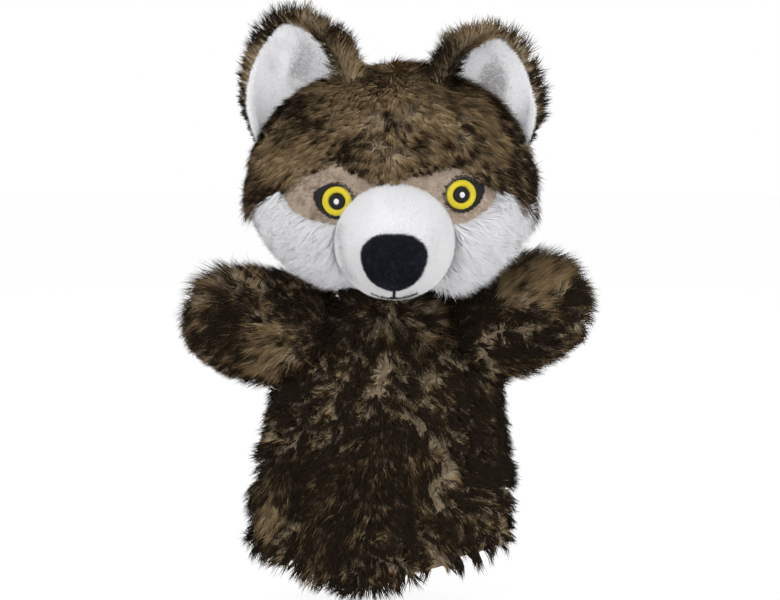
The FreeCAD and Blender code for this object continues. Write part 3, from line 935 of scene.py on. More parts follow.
@dataclass
class Arm:
    """One finger arm: a ball at its root and a blunt paw."""

    name: str
    rings: tuple = ((-15, 16.1), (-10, 19.6), (-5, 21.4), (0, 22), (4, 21.7), (13, 21.4), (22, 21), (30, 20.1),
                    (36, 18.7), (40, 16.9), (43.6, 13.8), (46.4, 9.4))
    tip: float = 48.5 * MM
    cloth: float = 1.6 * MM
    corner_share: dict = field(default_factory=lambda: {"left": 0.3, "right": 0.5})
    lighter: dict = field(default_factory=lambda: {"left": 0.04, "right": 0.14})
    pile: Pile = field(default_factory=lambda: Pile(length=11.5 * MM, per_square_mm=3.6, parting_share=0.42,
                                                    root_lean=26.0, tip_lean=56.0, stray=0.3, mottle_shift=-0.06,
                                                    mottle_gain=1.8))

    @property
    def corner(self) -> float:
        """How much longer the pile is at the paw's upper corner."""
        return self.corner_share[self.name]

    def build(self, shoulder: Shoulder) -> None:
        """Make the arm's cloth and its pile."""
        rings = [(Vector((x * MM, 0, 0)), r * MM, r * MM) for x, r in self.rings]
        rings.append((Vector((self.tip, 0, 0)), 2.5 * MM, 2.5 * MM))
        skin = ring_form(f"{self.name}_arm_cloth", rings, Vector((1, 0, 0)), 56, close_end=True)
        smooth_form(skin, 1)
        place = shoulder.place()
        place_piece(skin, place, shoulder.side)
        surface = Surface.of(skin)
        apply_modifier(skin, "SOLIDIFY", thickness=self.cloth, offset=-1.0)
        skin.data.materials.append(KNIT_TAN.material())
        body = f"{self.name}_arm"
        finish_piece(skin, body, "tipped_fur", f"{self.name}_arm_front", f"{self.name}_arm_back")

        def comb(points: np.ndarray) -> np.ndarray:
            local = to_local(points, place, shoulder.side)
            out = np.stack([np.full(len(points), 1.0), local[:, 1] * 14, local[:, 2] * 14 - 0.25], axis=1)
            out[:, 1:] *= np.clip(local[:, 0:1] / (30 * MM), 0.2, 1.5)
            return turn_out(out, place, shoulder.side)

        def beyond(points: np.ndarray) -> np.ndarray:
            return (to_local(points, place, shoulder.side)[:, 0] > -13 * MM).astype(float)

        def trim(points: np.ndarray) -> np.ndarray:
            x, _, z = to_local(points, place, shoulder.side).T
            far = np.clip((x - 14 * MM) / (22 * MM), 0, 1)
            return np.clip(0.8 + x / (40 * MM), 0.5, 1) * (1 + far * np.clip(z / (18 * MM), -1, 1) * self.corner)

        def tone(points: np.ndarray) -> np.ndarray:
            x, _, z = to_local(points, place, shoulder.side).T
            # Painted shade at the arm's root, in the crease where it meets the body.
            root = np.clip(1 - (x + 8 * MM) / (24 * MM), 0, 1) * 0.42
            # Painted light along the arm's upper and lower edges.
            rim = np.clip((np.abs(z) - 6 * MM) / (10 * MM), 0, 1) * np.clip(x / (26 * MM), 0, 1) * 0.36
            paw = np.clip((x - 36 * MM) / (10 * MM), 0, 1) * 0.2
            return np.maximum(rim, paw) + self.lighter[self.name] - root

        pile = self.pile.grow(f"{self.name}_arm_pile", surface, comb, WOLF_PILE, 21 if self.name == "left" else 22,
                              beyond, trim, tone)
        finish_piece(pile, body, "tipped_fur")


class Panel(Enum):
    """The cloth panels that the head is sewn from."""

    BACK = "back"
    CROWN = "crown"
    PATCH = "eye_patch"
    CHEEK = "cheek"


@dataclass
class Head:
    """The stuffed head: back, two crown panels, two cheeks and two eye patches."""

    centre: Vector = Vector((0, -18 * MM, 189.5 * MM))
    half: Vector = Vector((61.5 * MM, 45 * MM, 50.5 * MM))
    inset: float = 1.8 * MM
    back_seam: float = -10 * MM
    fringe_x: tuple = (0, 24, 45, 64, 90)
    fringe_z: tuple = (191, 200, 189, 176, 176)
    patch_centre: tuple = (22 * MM, 188 * MM)
    patch_half: tuple = (24 * MM, 14.5 * MM)
    crown_pile: Pile = field(default_factory=lambda: Pile(length=10 * MM, per_square_mm=4.6, parting_share=0.35,
                                                          mottle_shift=0.06, mottle_gain=1.7, stray=0.22))
    crown_length: dict = field(default_factory=lambda: {"left": 1.1, "right": 0.85})
    back_pile: Pile = field(default_factory=lambda: Pile(parting_share=0.4, mottle_shift=-0.05))
    cheek_pile: Pile = field(default_factory=lambda: Pile(length=8.5 * MM, per_square_mm=6.6, root_lean=26,
                                                          tip_lean=55, tuft=2.6 * MM, tuft_pull=0.22, stray=0.3,
                                                          swirl=0.25, width=0.34 * MM, normal_share=0.8))
    cheek_length: dict = field(default_factory=lambda: {"left": 1.45, "right": 0.95})
    patch_pile: ShortPile = field(default_factory=lambda: ShortPile(length=2.2 * MM, width=0.4 * MM, lean=46,
                                                                    per_square_mm=9.0, clump=1.5 * MM,
                                                                    clump_shade=0.9, mottle=0.8, spread=0.14,
                                                                    normal_share=0.5))
    form: Optional[bpy.types.Object] = None
    surface: Optional[Surface] = None
    tree: Optional[BVHTree] = None

    def fringe(self, x: np.ndarray) -> np.ndarray:
        """Height of the crown panels' lower edge at each distance from the middle."""
        return np.interp(np.abs(x) / MM, self.fringe_x, self.fringe_z) * MM

    def panel(self, points: np.ndarray, kind: Panel) -> np.ndarray:
        """Whether each point of the head's surface belongs to a kind of panel."""
        x, y, z = points.T
        back = y > self.back_seam
        above = z > self.fringe(x)
        u = (np.abs(x) - self.patch_centre[0]) / self.patch_half[0]
        v = (z - self.patch_centre[1]) / self.patch_half[1]
        patch = (u * u + v * v < 1) & (y < self.centre.y)
        return {Panel.BACK: back, Panel.CROWN: ~back & above, Panel.PATCH: ~back & ~above & patch,
                Panel.CHEEK: ~back & ~above & ~patch}[kind]

    def seam(self, points: np.ndarray) -> np.ndarray:
        """How firmly seams hold each point, from 0 to 1."""
        x, y, z = points.T
        crown = np.exp(-(x / (3 * MM)) ** 2) * (y < self.back_seam) * (z > self.fringe(x))
        rear = np.exp(-((y - self.back_seam) / (3 * MM)) ** 2)
        fringe = np.exp(-((z - self.fringe(x)) / (3 * MM)) ** 2) * (y < self.back_seam)
        return np.clip(np.maximum(np.maximum(crown, rear), fringe), 0, 1)

    def build_form(self) -> None:
        """Stuff the head: the cloth swells between its seams."""
        half = self.half - Vector((self.inset,) * 3)
        self.form = ball_form("head_form", self.centre, half, 72, 48)
        swell(self.form, self.seam, 3.2 * MM)
        smooth_form(self.form, 1)
        self.surface = Surface.of(self.form)
        self.tree = BVHTree.FromObject(self.form, bpy.context.evaluated_depsgraph_get())

    def front(self, x: float, z: float) -> tuple[Vector, Vector]:
        """The face's surface point and normal straight behind a place in front view."""
        hit, normal, _, _ = self.tree.ray_cast(Vector((x, -0.2, z)), Vector((0, 1, 0)))
        if hit is None:
            hit, normal, _, _ = self.tree.find_nearest(Vector((x, self.centre.y - 20 * MM, z)))
        return hit, normal

    def comb(self, points: np.ndarray) -> np.ndarray:
        """Pile runs from the middle seam outward and down, and down the cheeks and back."""
        x, y, z = points.T
        out = np.stack([np.clip(x / (7 * MM), -1, 1) * 0.5 + x / (60 * MM) * 0.7, np.full(len(x), -0.3),
                        np.full(len(x), -0.75)], axis=1)
        back = np.stack([x / (60 * MM) * 0.4, np.full(len(x), 0.35), np.full(len(x), -1.0)], axis=1)
        share = np.clip((y - self.back_seam) / (12 * MM), 0, 1)[:, None]
        low = np.clip((self.fringe(x) - z) / (12 * MM), 0, 1)[:, None]
        cheek = np.stack([x / (40 * MM), np.full(len(x), -0.05), np.full(len(x), -0.55)], axis=1)
        out = out * (1 - low) + cheek * low
        return out * (1 - share) + back * share

    def build(self, eyes: Sequence["Eye"]) -> None:
        """Cut the panels from the stuffed form and grow their pile."""
        for kind in Panel:
            for name, side in SIDES.items():
                self.cut_panel(kind, name, side)
        back = self.back_pile.grow("head_back_pile", self.surface, self.comb, WOLF_PILE, 31,
                                   lambda p: self.panel(p, Panel.BACK) & self.clear_of_neck(p))
        finish_piece(back, "head", "tipped_fur")
        for number, (name, side) in enumerate(SIDES.items()):
            def on(kind: Panel, sign: float = side) -> Field:
                return lambda p: self.panel(p, kind) & (p[:, 0] * sign > 0) & self.clear_of_neck(p)

            crown = self.crown_pile.grow(f"{name}_crown_pile", self.surface, self.comb, WOLF_PILE, 33 + number,
                                         on(Panel.CROWN), lambda p, n=name: self.trim_fringe(p) * self.crown_length[n],
                                         self.crown_tone)
            finish_piece(crown, "head", "tipped_fur")
            cheek = self.cheek_pile.grow(f"{name}_cheek_pile", self.surface, self.comb, WHITE_PILE, 36 + number,
                                         on(Panel.CHEEK), lambda p, n=name: self.trim_chin(p) * self.cheek_length[n])
            finish_piece(cheek, "head", "white_pile")
            eye = eyes[number]
            patch = self.patch_pile.grow(f"{name}_eye_patch_pile", self.surface, self.comb, BEIGE_PILE, 38 + number,
                                         lambda p, e=eye, k=on(Panel.PATCH): k(p) & ~e.covers(p))
            finish_piece(patch, "head", "beige_plush")
        bpy.data.objects.remove(self.form)

    def trim_fringe(self, points: np.ndarray) -> np.ndarray:
        """Hairs over the eye patches are cut shorter than those at the temples and above."""
        over = (points[:, 2] - self.fringe(points[:, 0])) / (14 * MM)
        eyes = np.clip((50 * MM - np.abs(points[:, 0])) / (14 * MM), 0, 1)
        ragged = (soft_noise(points, 7 * MM, 210) - 0.5) * 0.7 * np.clip(1.4 - over, 0, 1)
        temples = np.clip((np.abs(points[:, 0]) - 46 * MM) / (8 * MM), 0, 1) * np.clip(1.2 - over, 0, 1) * 0.45
        return 1 + ragged + temples - eyes * (0.62 - 0.62 * np.clip(over, 0, 1))

    def trim_chin(self, points: np.ndarray) -> np.ndarray:
        """The white pile is short behind the muzzle, where it would show below it."""
        x, _, z = points.T
        near = np.clip((25 * MM - np.abs(x)) / (8 * MM), 0, 1) * np.clip((158 * MM - z) / (10 * MM), 0, 1)
        return 1 - 0.75 * near

    def crown_tone(self, points: np.ndarray) -> np.ndarray:
        """The crown is lightest over its top, darkest at the right temple, and tan in the short parting."""
        x, _, z = points.T
        temple = np.clip((np.abs(x) - 30 * MM) / (24 * MM), 0, 1) * np.where(x > 0, -0.16, 0.1)
        top = np.clip((z - 212 * MM) / (16 * MM), 0, 1)
        parting = np.exp(-((x - 2 * MM) / (6 * MM)) ** 2) * top * 0.5
        return 0.17 - temple + top * 0.14 + parting

    def clear_of_neck(self, points: np.ndarray) -> np.ndarray:
        """Leave out roots inside the hollow that the neck stands in, and inside the muzzle."""
        neck = np.linalg.norm(points - np.array([0, 0, 142 * MM]), axis=1) > 22 * MM
        muzzle = ((points - np.array([2, -50, 166.6]) * MM) / (np.array([26, 30.5, 26.5]) * MM)) ** 2
        return neck & (muzzle.sum(axis=1) > 1)

    def cut_panel(self, kind: Panel, name: str, side: float) -> None:
        """Make one panel's backing cloth, which stands for its plain solid."""
        if kind is Panel.BACK and name == "right":
            return
        label = "head_back_cloth" if kind is Panel.BACK else f"{name}_{kind.value}_cloth"
        piece = self.form.copy()
        piece.data = self.form.data.copy()
        piece.name = piece.data.name = label
        bpy.context.scene.collection.objects.link(piece)
        drop_faces(piece, lambda p: ~(self.panel(p, kind) & ((p[:, 0] * side > 0) | (kind is Panel.BACK))))
        drop_faces(piece, lambda p: np.linalg.norm(p - np.array([0, 0, 142 * MM]), axis=1) < 23 * MM)
        apply_modifier(piece, "SOLIDIFY", thickness=1.6 * MM, offset=-1.0)
        finish, slot = {Panel.BACK: (KNIT_TAN, "tipped_fur"), Panel.CROWN: (KNIT_TAN, "tipped_fur"),
                        Panel.PATCH: (KNIT_BEIGE, "beige_plush"), Panel.CHEEK: (KNIT_WHITE, "white_pile")}[kind]
        piece.data.materials.clear()
        piece.data.materials.append(finish.material())
        replaced = "head_back_panel" if kind is Panel.BACK else f"{name}_{kind.value}"
        finish_piece(piece, "head", slot, replaced)
        if kind is Panel.BACK:
            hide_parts("head_stuffing")


def swell(piece: bpy.types.Object, seam: Field, most: float) -> None:
    """Stuff a closed form: pressure swells its cloth between the seams.

    Args:
        piece: The form, a little smaller than it should end.
        seam: How firmly each point is held, from 0 to 1.
        most: The furthest that a point may move.
    """
    before = np.zeros(len(piece.data.vertices) * 3)
    piece.data.vertices.foreach_get("co", before)
    before = before.reshape(-1, 3)
    hold = np.clip(seam(before), 0, 1)
    group = piece.vertex_groups.new(name="seams")
    for index, weight in enumerate(hold):
        if weight > 0.05:
            group.add([index], float(weight), "REPLACE")
    modifier = piece.modifiers.new("stuffing", "CLOTH")
    settings = modifier.settings
    settings.use_pressure = True
    settings.uniform_pressure_force = 4.0
    settings.effector_weights.gravity = 0.0
    settings.vertex_group_mass = "seams"
    settings.mass = 0.3
    settings.tension_stiffness = settings.compression_stiffness = 12.0
    scene = bpy.context.scene
    modifier.point_cache.frame_start, modifier.point_cache.frame_end = 1, 20
    for frame in range(1, 21):
        scene.frame_set(frame)
    select_only(piece)
    bpy.ops.object.modifier_apply(modifier=modifier.name)
    scene.frame_set(1)
    after = np.zeros(len(piece.data.vertices) * 3)
    piece.data.vertices.foreach_get("co", after)
    moved = after.reshape(-1, 3) - before
    size = np.linalg.norm(moved, axis=1, keepdims=True)
    LOG.info("%s swelled by up to %.1f mm before the limit", piece.name, size.max() / MM)
    moved = moved * np.minimum(1.0, most / np.maximum(size, 1e-9))
    move_points(piece, lambda p: before + moved)
    piece.vertex_groups.clear()


@dataclass
class Thread:
    """Satin stitches: short shiny threads laid side by side over their cloth."""

    width: float = 0.46 * MM
    steps: int = 6

    def strands(self, lines: Sequence[tuple[tuple[float, float], tuple[float, float], float]],
                ground: Callable[[float, float], tuple[Vector, Vector]]) -> tuple[list, list]:
        """Raise each stitch over the cloth between its two ends.

        Args:
            lines: Each stitch's two ends in front view and its height.
            ground: Gives the cloth's point and normal behind a place.

        Returns:
            Points and faces.
        """
        points: list = []
        faces: list = []
        for (x0, z0), (x1, z1), height in lines:
            across = Vector((z1 - z0, 0, x0 - x1)).normalized() * self.width / 2
            first = len(points)
            for step in range(self.steps + 1):
                share = step / self.steps
                base, normal = ground(x0 + (x1 - x0) * share, z0 + (z1 - z0) * share)
                lift = height * (1 - abs(2 * share - 1) ** 5)
                points += [base + normal * (lift - 0.25 * MM) - across, base + normal * (lift + 0.12 * MM),
                           base + normal * (lift - 0.25 * MM) + across]
            for step in range(self.steps):
                low = first + step * 3
                faces += [(low, low + 3, low + 4, low + 1), (low + 1, low + 4, low + 5, low + 2)]
        return points, faces

    def sew(self, name: str, lines: Sequence, ground: Callable, finish: ThreadFinish) -> bpy.types.Object:
        """Make one piece of embroidery, its stitches facing outwards."""
        points, faces = self.strands(lines, ground)
        piece = mesh_object(name, np.array([tuple(p) for p in points]), faces, finish.material())
        select_only(piece)
        front = sum(f.normal.y * f.area for f in piece.data.polygons)
        if front > 0:
            bpy.ops.object.mode_set(mode="EDIT")
            bpy.ops.mesh.select_all(action="SELECT")
            bpy.ops.mesh.flip_normals()
            bpy.ops.object.mode_set(mode="OBJECT")
        return piece


@dataclass
class Eye:
    """An embroidered eye: black outline, yellow ring, dark pupil and a white glint."""

    name: str
    place: dict = field(default_factory=lambda: {"left": (31.0 * MM, 186.3 * MM), "right": (23.0 * MM, 183.6 * MM)})
    iris: float = 6.6 * MM
    pupil: float = 3.7 * MM
    glint: tuple = (1.05 * MM, 1.8 * MM)
    outline: tuple = ((-8.4, -0.5), (-6.0, 5.4), (-0.6, 8.6), (5.0, 7.2), (10.4, 3.2), (9.0, -2.2), (5.0, -6.2),
                      (-0.4, -7.7), (-5.8, -5.6))
    height: float = 1.0 * MM
    thread: Thread = field(default_factory=Thread)

    @property
    def centre(self) -> tuple[float, float]:
        """The eye's middle in front view."""
        x, z = self.place[self.name]
        return SIDES[self.name] * x, z

    def edge(self, angle: float) -> float:
        """The outline's distance from the middle at an angle, outward being 0."""
        corners = sorted((math.atan2(v, u), math.hypot(u, v)) for u, v in self.outline)
        corners = [(a - math.tau, r) for a, r in corners] + corners + [(a + math.tau, r) for a, r in corners]
        for (a0, r0), (a1, r1) in zip(corners, corners[1:]):
            if a0 <= angle < a1:
                share = (angle - a0) / (a1 - a0)
                share = share * share * (3 - 2 * share)
                return (r0 + (r1 - r0) * share) * MM
        return self.iris

    def covers(self, points: np.ndarray) -> np.ndarray:
        """Whether each point lies under the embroidery."""
        x, z = self.centre
        u = (points[:, 0] - x) * SIDES[self.name]
        v = points[:, 2] - z
        reach = np.array([self.edge(a) for a in np.arctan2(v, u)])
        return np.hypot(u, v) < reach - 0.3 * MM

    def spot(self, angle: float, radius: float) -> tuple[float, float]:
        """A place in front view from polar numbers."""
        x, z = self.centre
        return x + SIDES[self.name] * radius * math.cos(angle), z + radius * math.sin(angle)

    def ring(self, inner: Callable[[float], float], outer: Callable[[float], float], pitch: float, height: float,
             rng: np.random.Generator, ragged: float) -> list:
        """Radial stitches between two outlines."""
        count = int(math.tau * outer(0.0) / pitch)
        lines = []
        for number in range(count):
            angle = number / count * math.tau - math.pi + 1e-4
            step = ragged * ((number // 3) % 2) + rng.normal(0, 0.08 * MM)
            lines.append((self.spot(angle, inner(angle) - 0.15 * MM), self.spot(angle, outer(angle) + step), height))
        return lines

    def fill(self, half: tuple[float, float], pitch: float, height: float) -> list:
        """Upright stitches side by side that fill an oval."""
        x, z = self.centre
        count = max(2, int(2 * half[0] / pitch))
        lines = []
        for number in range(count):
            u = -half[0] + (number + 0.5) * 2 * half[0] / count
            reach = half[1] * math.sqrt(max(0.05, 1 - (u / half[0]) ** 2))
            lines.append(((x + u, z - reach), (x + u, z + reach), height))
        return lines

    def build(self, ground: Callable[[float, float], tuple[Vector, Vector]]) -> None:
        """Sew the four colours on the face."""
        rng = np.random.default_rng(51 if self.name == "left" else 52)
        outline = self.ring(lambda a: self.iris, self.edge, 0.42 * MM, self.height, rng, 0.35 * MM)
        piece = self.thread.sew(f"{self.name}_eye_outline_stitches", outline, ground, BLACK_THREAD)
        finish_piece(piece, "head", "black_thread", f"{self.name}_eye_outline")
        iris = self.ring(lambda a: self.pupil, lambda a: self.iris, 0.40 * MM, self.height * 1.15, rng, 0.0)
        piece = self.thread.sew(f"{self.name}_eye_iris_stitches", iris, ground, YELLOW_THREAD)
        finish_piece(piece, "head", "yellow_thread", f"{self.name}_eye_iris")
        pupil = self.ring(lambda a: 1.0 * MM, lambda a: self.pupil, 0.40 * MM, self.height * 1.25, rng, 0.0)
        piece = self.thread.sew(f"{self.name}_eye_pupil_stitches", pupil, ground, BLACK_THREAD)
        finish_piece(piece, "head", "black_thread", f"{self.name}_eye_pupil")
        piece = self.thread.sew(f"{self.name}_eye_glint_stitches", self.fill(self.glint, 0.4 * MM, self.height * 1.6),
                                ground, WHITE_THREAD)
        finish_piece(piece, "head", "white_thread", f"{self.name}_eye_glint")


@dataclass
class Muzzle:
    """The stuffed muzzle with its padded nose and stitched mouth."""

    centre: Vector = Vector((2 * MM, -50 * MM, 166.6 * MM))
    half: Vector = Vector((27.5 * MM, 32 * MM, 28 * MM))
    inset: float = 1.6 * MM
    nose_middle: float = 1.8
    nose_outline: tuple = ((0, 170.4), (7.6, 169.8), (13.4, 164.6), (13.0, 156.6), (8.6, 149.8), (0, 146.4),
                           (-8.6, 149.8), (-13.0, 156.6), (-13.4, 164.6), (-7.6, 169.8))
    nose_height: float = 6.2 * MM
    mouth_drop: float = 5 * MM
    mouth_half: float = 10 * MM
    mouth_lift: float = 2.4 * MM
    pile: ShortPile = field(default_factory=lambda: ShortPile(per_square_mm=10.0))
    nose_pile: ShortPile = field(default_factory=lambda: ShortPile(length=1.5 * MM, per_square_mm=11.0,
                                                                   clump=1.4 * MM, clump_shade=0.9, mottle=0.8,
                                                                   spread=0.14, normal_share=0.6))
    tree: Optional[BVHTree] = None

    def seam(self, points: np.ndarray) -> np.ndarray:
        """The seams that hold the muzzle: round its foot and over its bridge."""
        y, z = points[:, 1], points[:, 2]
        foot = np.clip((y + 44 * MM) / (8 * MM), 0, 1)
        bridge = np.exp(-((z - 189 * MM) / (1.6 * MM)) ** 2) * 0.9
        return np.maximum(foot, bridge)

    def front(self, x: float, z: float) -> tuple[Vector, Vector]:
        """The muzzle's surface point and normal behind a place in front view."""
        hit, normal, _, _ = self.tree.ray_cast(Vector((x, -0.2, z)), Vector((0, 1, 0)))
        if hit is None:
            hit, normal, _, _ = self.tree.find_nearest(Vector((x, self.centre.y - 12 * MM, z)))
        return hit, normal

    def nose_edge(self, count: int) -> np.ndarray:
        """The nose's rounded outline, as that many places in front view."""
        corners = (np.array(self.nose_outline) + np.array([self.nose_middle, 0])) * MM
        size = len(corners)
        found = []
        for number in range(count):
            at = number / count * size
            index = int(at)
            t = at - index
            p = [corners[(index + k) % size] for k in (-1, 0, 1, 2)]
            found.append(0.5 * (2 * p[1] + (p[2] - p[0]) * t + (2 * p[0] - 5 * p[1] + 4 * p[2] - p[3]) * t * t
                                + (3 * p[1] - p[0] - 3 * p[2] + p[3]) * t ** 3))
        return np.array(found)

    def build(self) -> None:
        """Make the muzzle's form, its pile, the nose and the mouth."""
        form = ball_form("muzzle_cloth", self.centre, self.half - Vector((self.inset,) * 3), 64, 44)
        swell(form, self.seam, 3.0 * MM)
        smooth_form(form, 1)
        drop_faces(form, lambda p: p[:, 1] > -30 * MM)
        self.tree = BVHTree.FromObject(form, bpy.context.evaluated_depsgraph_get())
        surface = Surface.of(form)
        form.data.materials.append(KNIT_WHITE.material())
        finish_piece(form, "head", "short_white_plush", "muzzle_cover", "muzzle_stuffing")
        edge = self.nose_edge(72)
        # Painted shade: the pile above 188.5 mm is greyed where the muzzle's top turns back towards the forehead.
        pile = self.pile.grow("muzzle_pile", surface, self.comb, SHORT_WHITE, 41,
                              lambda p: ~self.under_nose(p, edge) & (p[:, 1] < -31 * MM) & ~self.at_mouth(p),
                              lambda p: -0.32 * np.clip((p[:, 2] - 188.5 * MM) / (1.5 * MM), 0, 1))
        finish_piece(pile, "head", "short_white_plush")
        self.build_nose(edge)
        self.build_mouth()

    def comb(self, points: np.ndarray) -> np.ndarray:
        """The clipped pile runs back from the nose."""
        x, y, z = points.T
        return np.stack([x / (27 * MM) * 0.7, np.full(len(x), 0.6), (z - 158.6 * MM) / (28 * MM) * 0.7], axis=1)

    def under_nose(self, points: np.ndarray, edge: np.ndarray) -> np.ndarray:
        """Whether each point lies behind the nose's outline."""
        x, z = points[:, 0], points[:, 2]
        inside = np.zeros(len(points), dtype=bool)
        before = edge[-1]
        for after in edge:
            crosses = (after[1] > z) != (before[1] > z)
            with np.errstate(divide="ignore", invalid="ignore"):
                at = (before[0] - after[0]) * (z - after[1]) / (before[1] - after[1]) + after[0]
            inside ^= crosses & (x < at)
            before = after
        return inside & (points[:, 1] < self.centre.y)

    def at_mouth(self, points: np.ndarray) -> np.ndarray:
        """Whether each point lies under the mouth's stitches."""
        x = points[:, 0] - self.nose_middle * MM
        z = points[:, 2] - min(height for _, height in self.nose_outline) * MM + self.mouth_drop
        smile = np.abs(z - self.mouth_lift * (x / self.mouth_half) ** 2) < 1.3 * MM
        stem = (np.abs(x) < 1.2 * MM) & (z > 0) & (z < self.mouth_drop + 1 * MM)
        return (points[:, 1] < self.centre.y) & ((smile & (np.abs(x) < self.mouth_half + 0.5 * MM)) | stem)

    def build_nose(self, edge: np.ndarray) -> None:
        """A domed pad, seamed to the muzzle round its edge."""
        rows = 14
        middle = edge.mean(axis=0)
        points, faces = [], []
        for row in range(rows):
            share = 1 - row / rows
            for place in edge:
                x, z = middle + (place - middle) * share
                base, normal = self.front(x, z)
                lean = (Vector((0, -1, 0)) + normal * 0.8).normalized()
                lift = self.nose_height * (1 - share ** 3.2) ** 0.55
                points.append(base + lean * (lift - 0.5 * MM) - Vector((0, 0, 0.8 * MM)) * (1 - share))
        base, normal = self.front(*middle)
        points.append(base + (Vector((0, -1, 0)) + normal * 0.8).normalized() * (self.nose_height - 0.5 * MM)
                      - Vector((0, 0, 0.8 * MM)))
        size = len(edge)
        for row in range(rows - 1):
            for k in range(size):
                a, b = row * size + k, row * size + (k + 1) % size
                faces.append((a, b, b + size, a + size))
        last = (rows - 1) * size
        faces += [(last + k, last + (k + 1) % size, rows * size) for k in range(size)]
        piece = mesh_object("nose_cloth", np.array([tuple(p) for p in points]), faces, KNIT_NOSE.material())
        if sum(f.normal.y * f.area for f in piece.data.polygons) > 0:
            select_only(piece)
            bpy.ops.object.mode_set(mode="EDIT")
            bpy.ops.mesh.select_all(action="SELECT")
            bpy.ops.mesh.flip_normals()
            bpy.ops.object.mode_set(mode="OBJECT")
        smooth_form(piece, 1)
        finish_piece(piece, "head", "nose_plush", "nose")
        pile = self.nose_pile.grow("nose_pile", Surface.of(piece), lambda p: np.tile([0.1, 0, -1.0], (len(p), 1)),
                                   NOSE_PILE, 43)
        finish_piece(pile, "head", "nose_plush")

    def build_mouth(self) -> None:
        """A short stem and a shallow smile in black satin stitch."""
        top = min(z for _, z in self.nose_outline) * MM
        middle = self.nose_middle * MM
        lines = []
        for number in range(13):
            z = top + 0.6 * MM - number * 0.42 * MM
            lines.append(((middle - 0.75 * MM, z), (middle + 0.75 * MM, z), 0.5 * MM))
        count = 46
        for number in range(count):
            x = (number / (count - 1) * 2 - 1) * self.mouth_half
            z = top - self.mouth_drop + self.mouth_lift * (x / self.mouth_half) ** 2
            slope = 2 * self.mouth_lift * x / self.mouth_half ** 2
            tall = 0.75 * MM * (1 - 0.5 * (x / self.mouth_half) ** 4)
            lines.append(((middle + x + slope * tall, z - tall), (middle + x - slope * tall, z + tall), 0.5 * MM))
        piece = Thread(steps=4).sew("mouth_stitches", lines, self.front, BLACK_THREAD)
        finish_piece(piece, "head", "black_thread", "mouth_stitching")


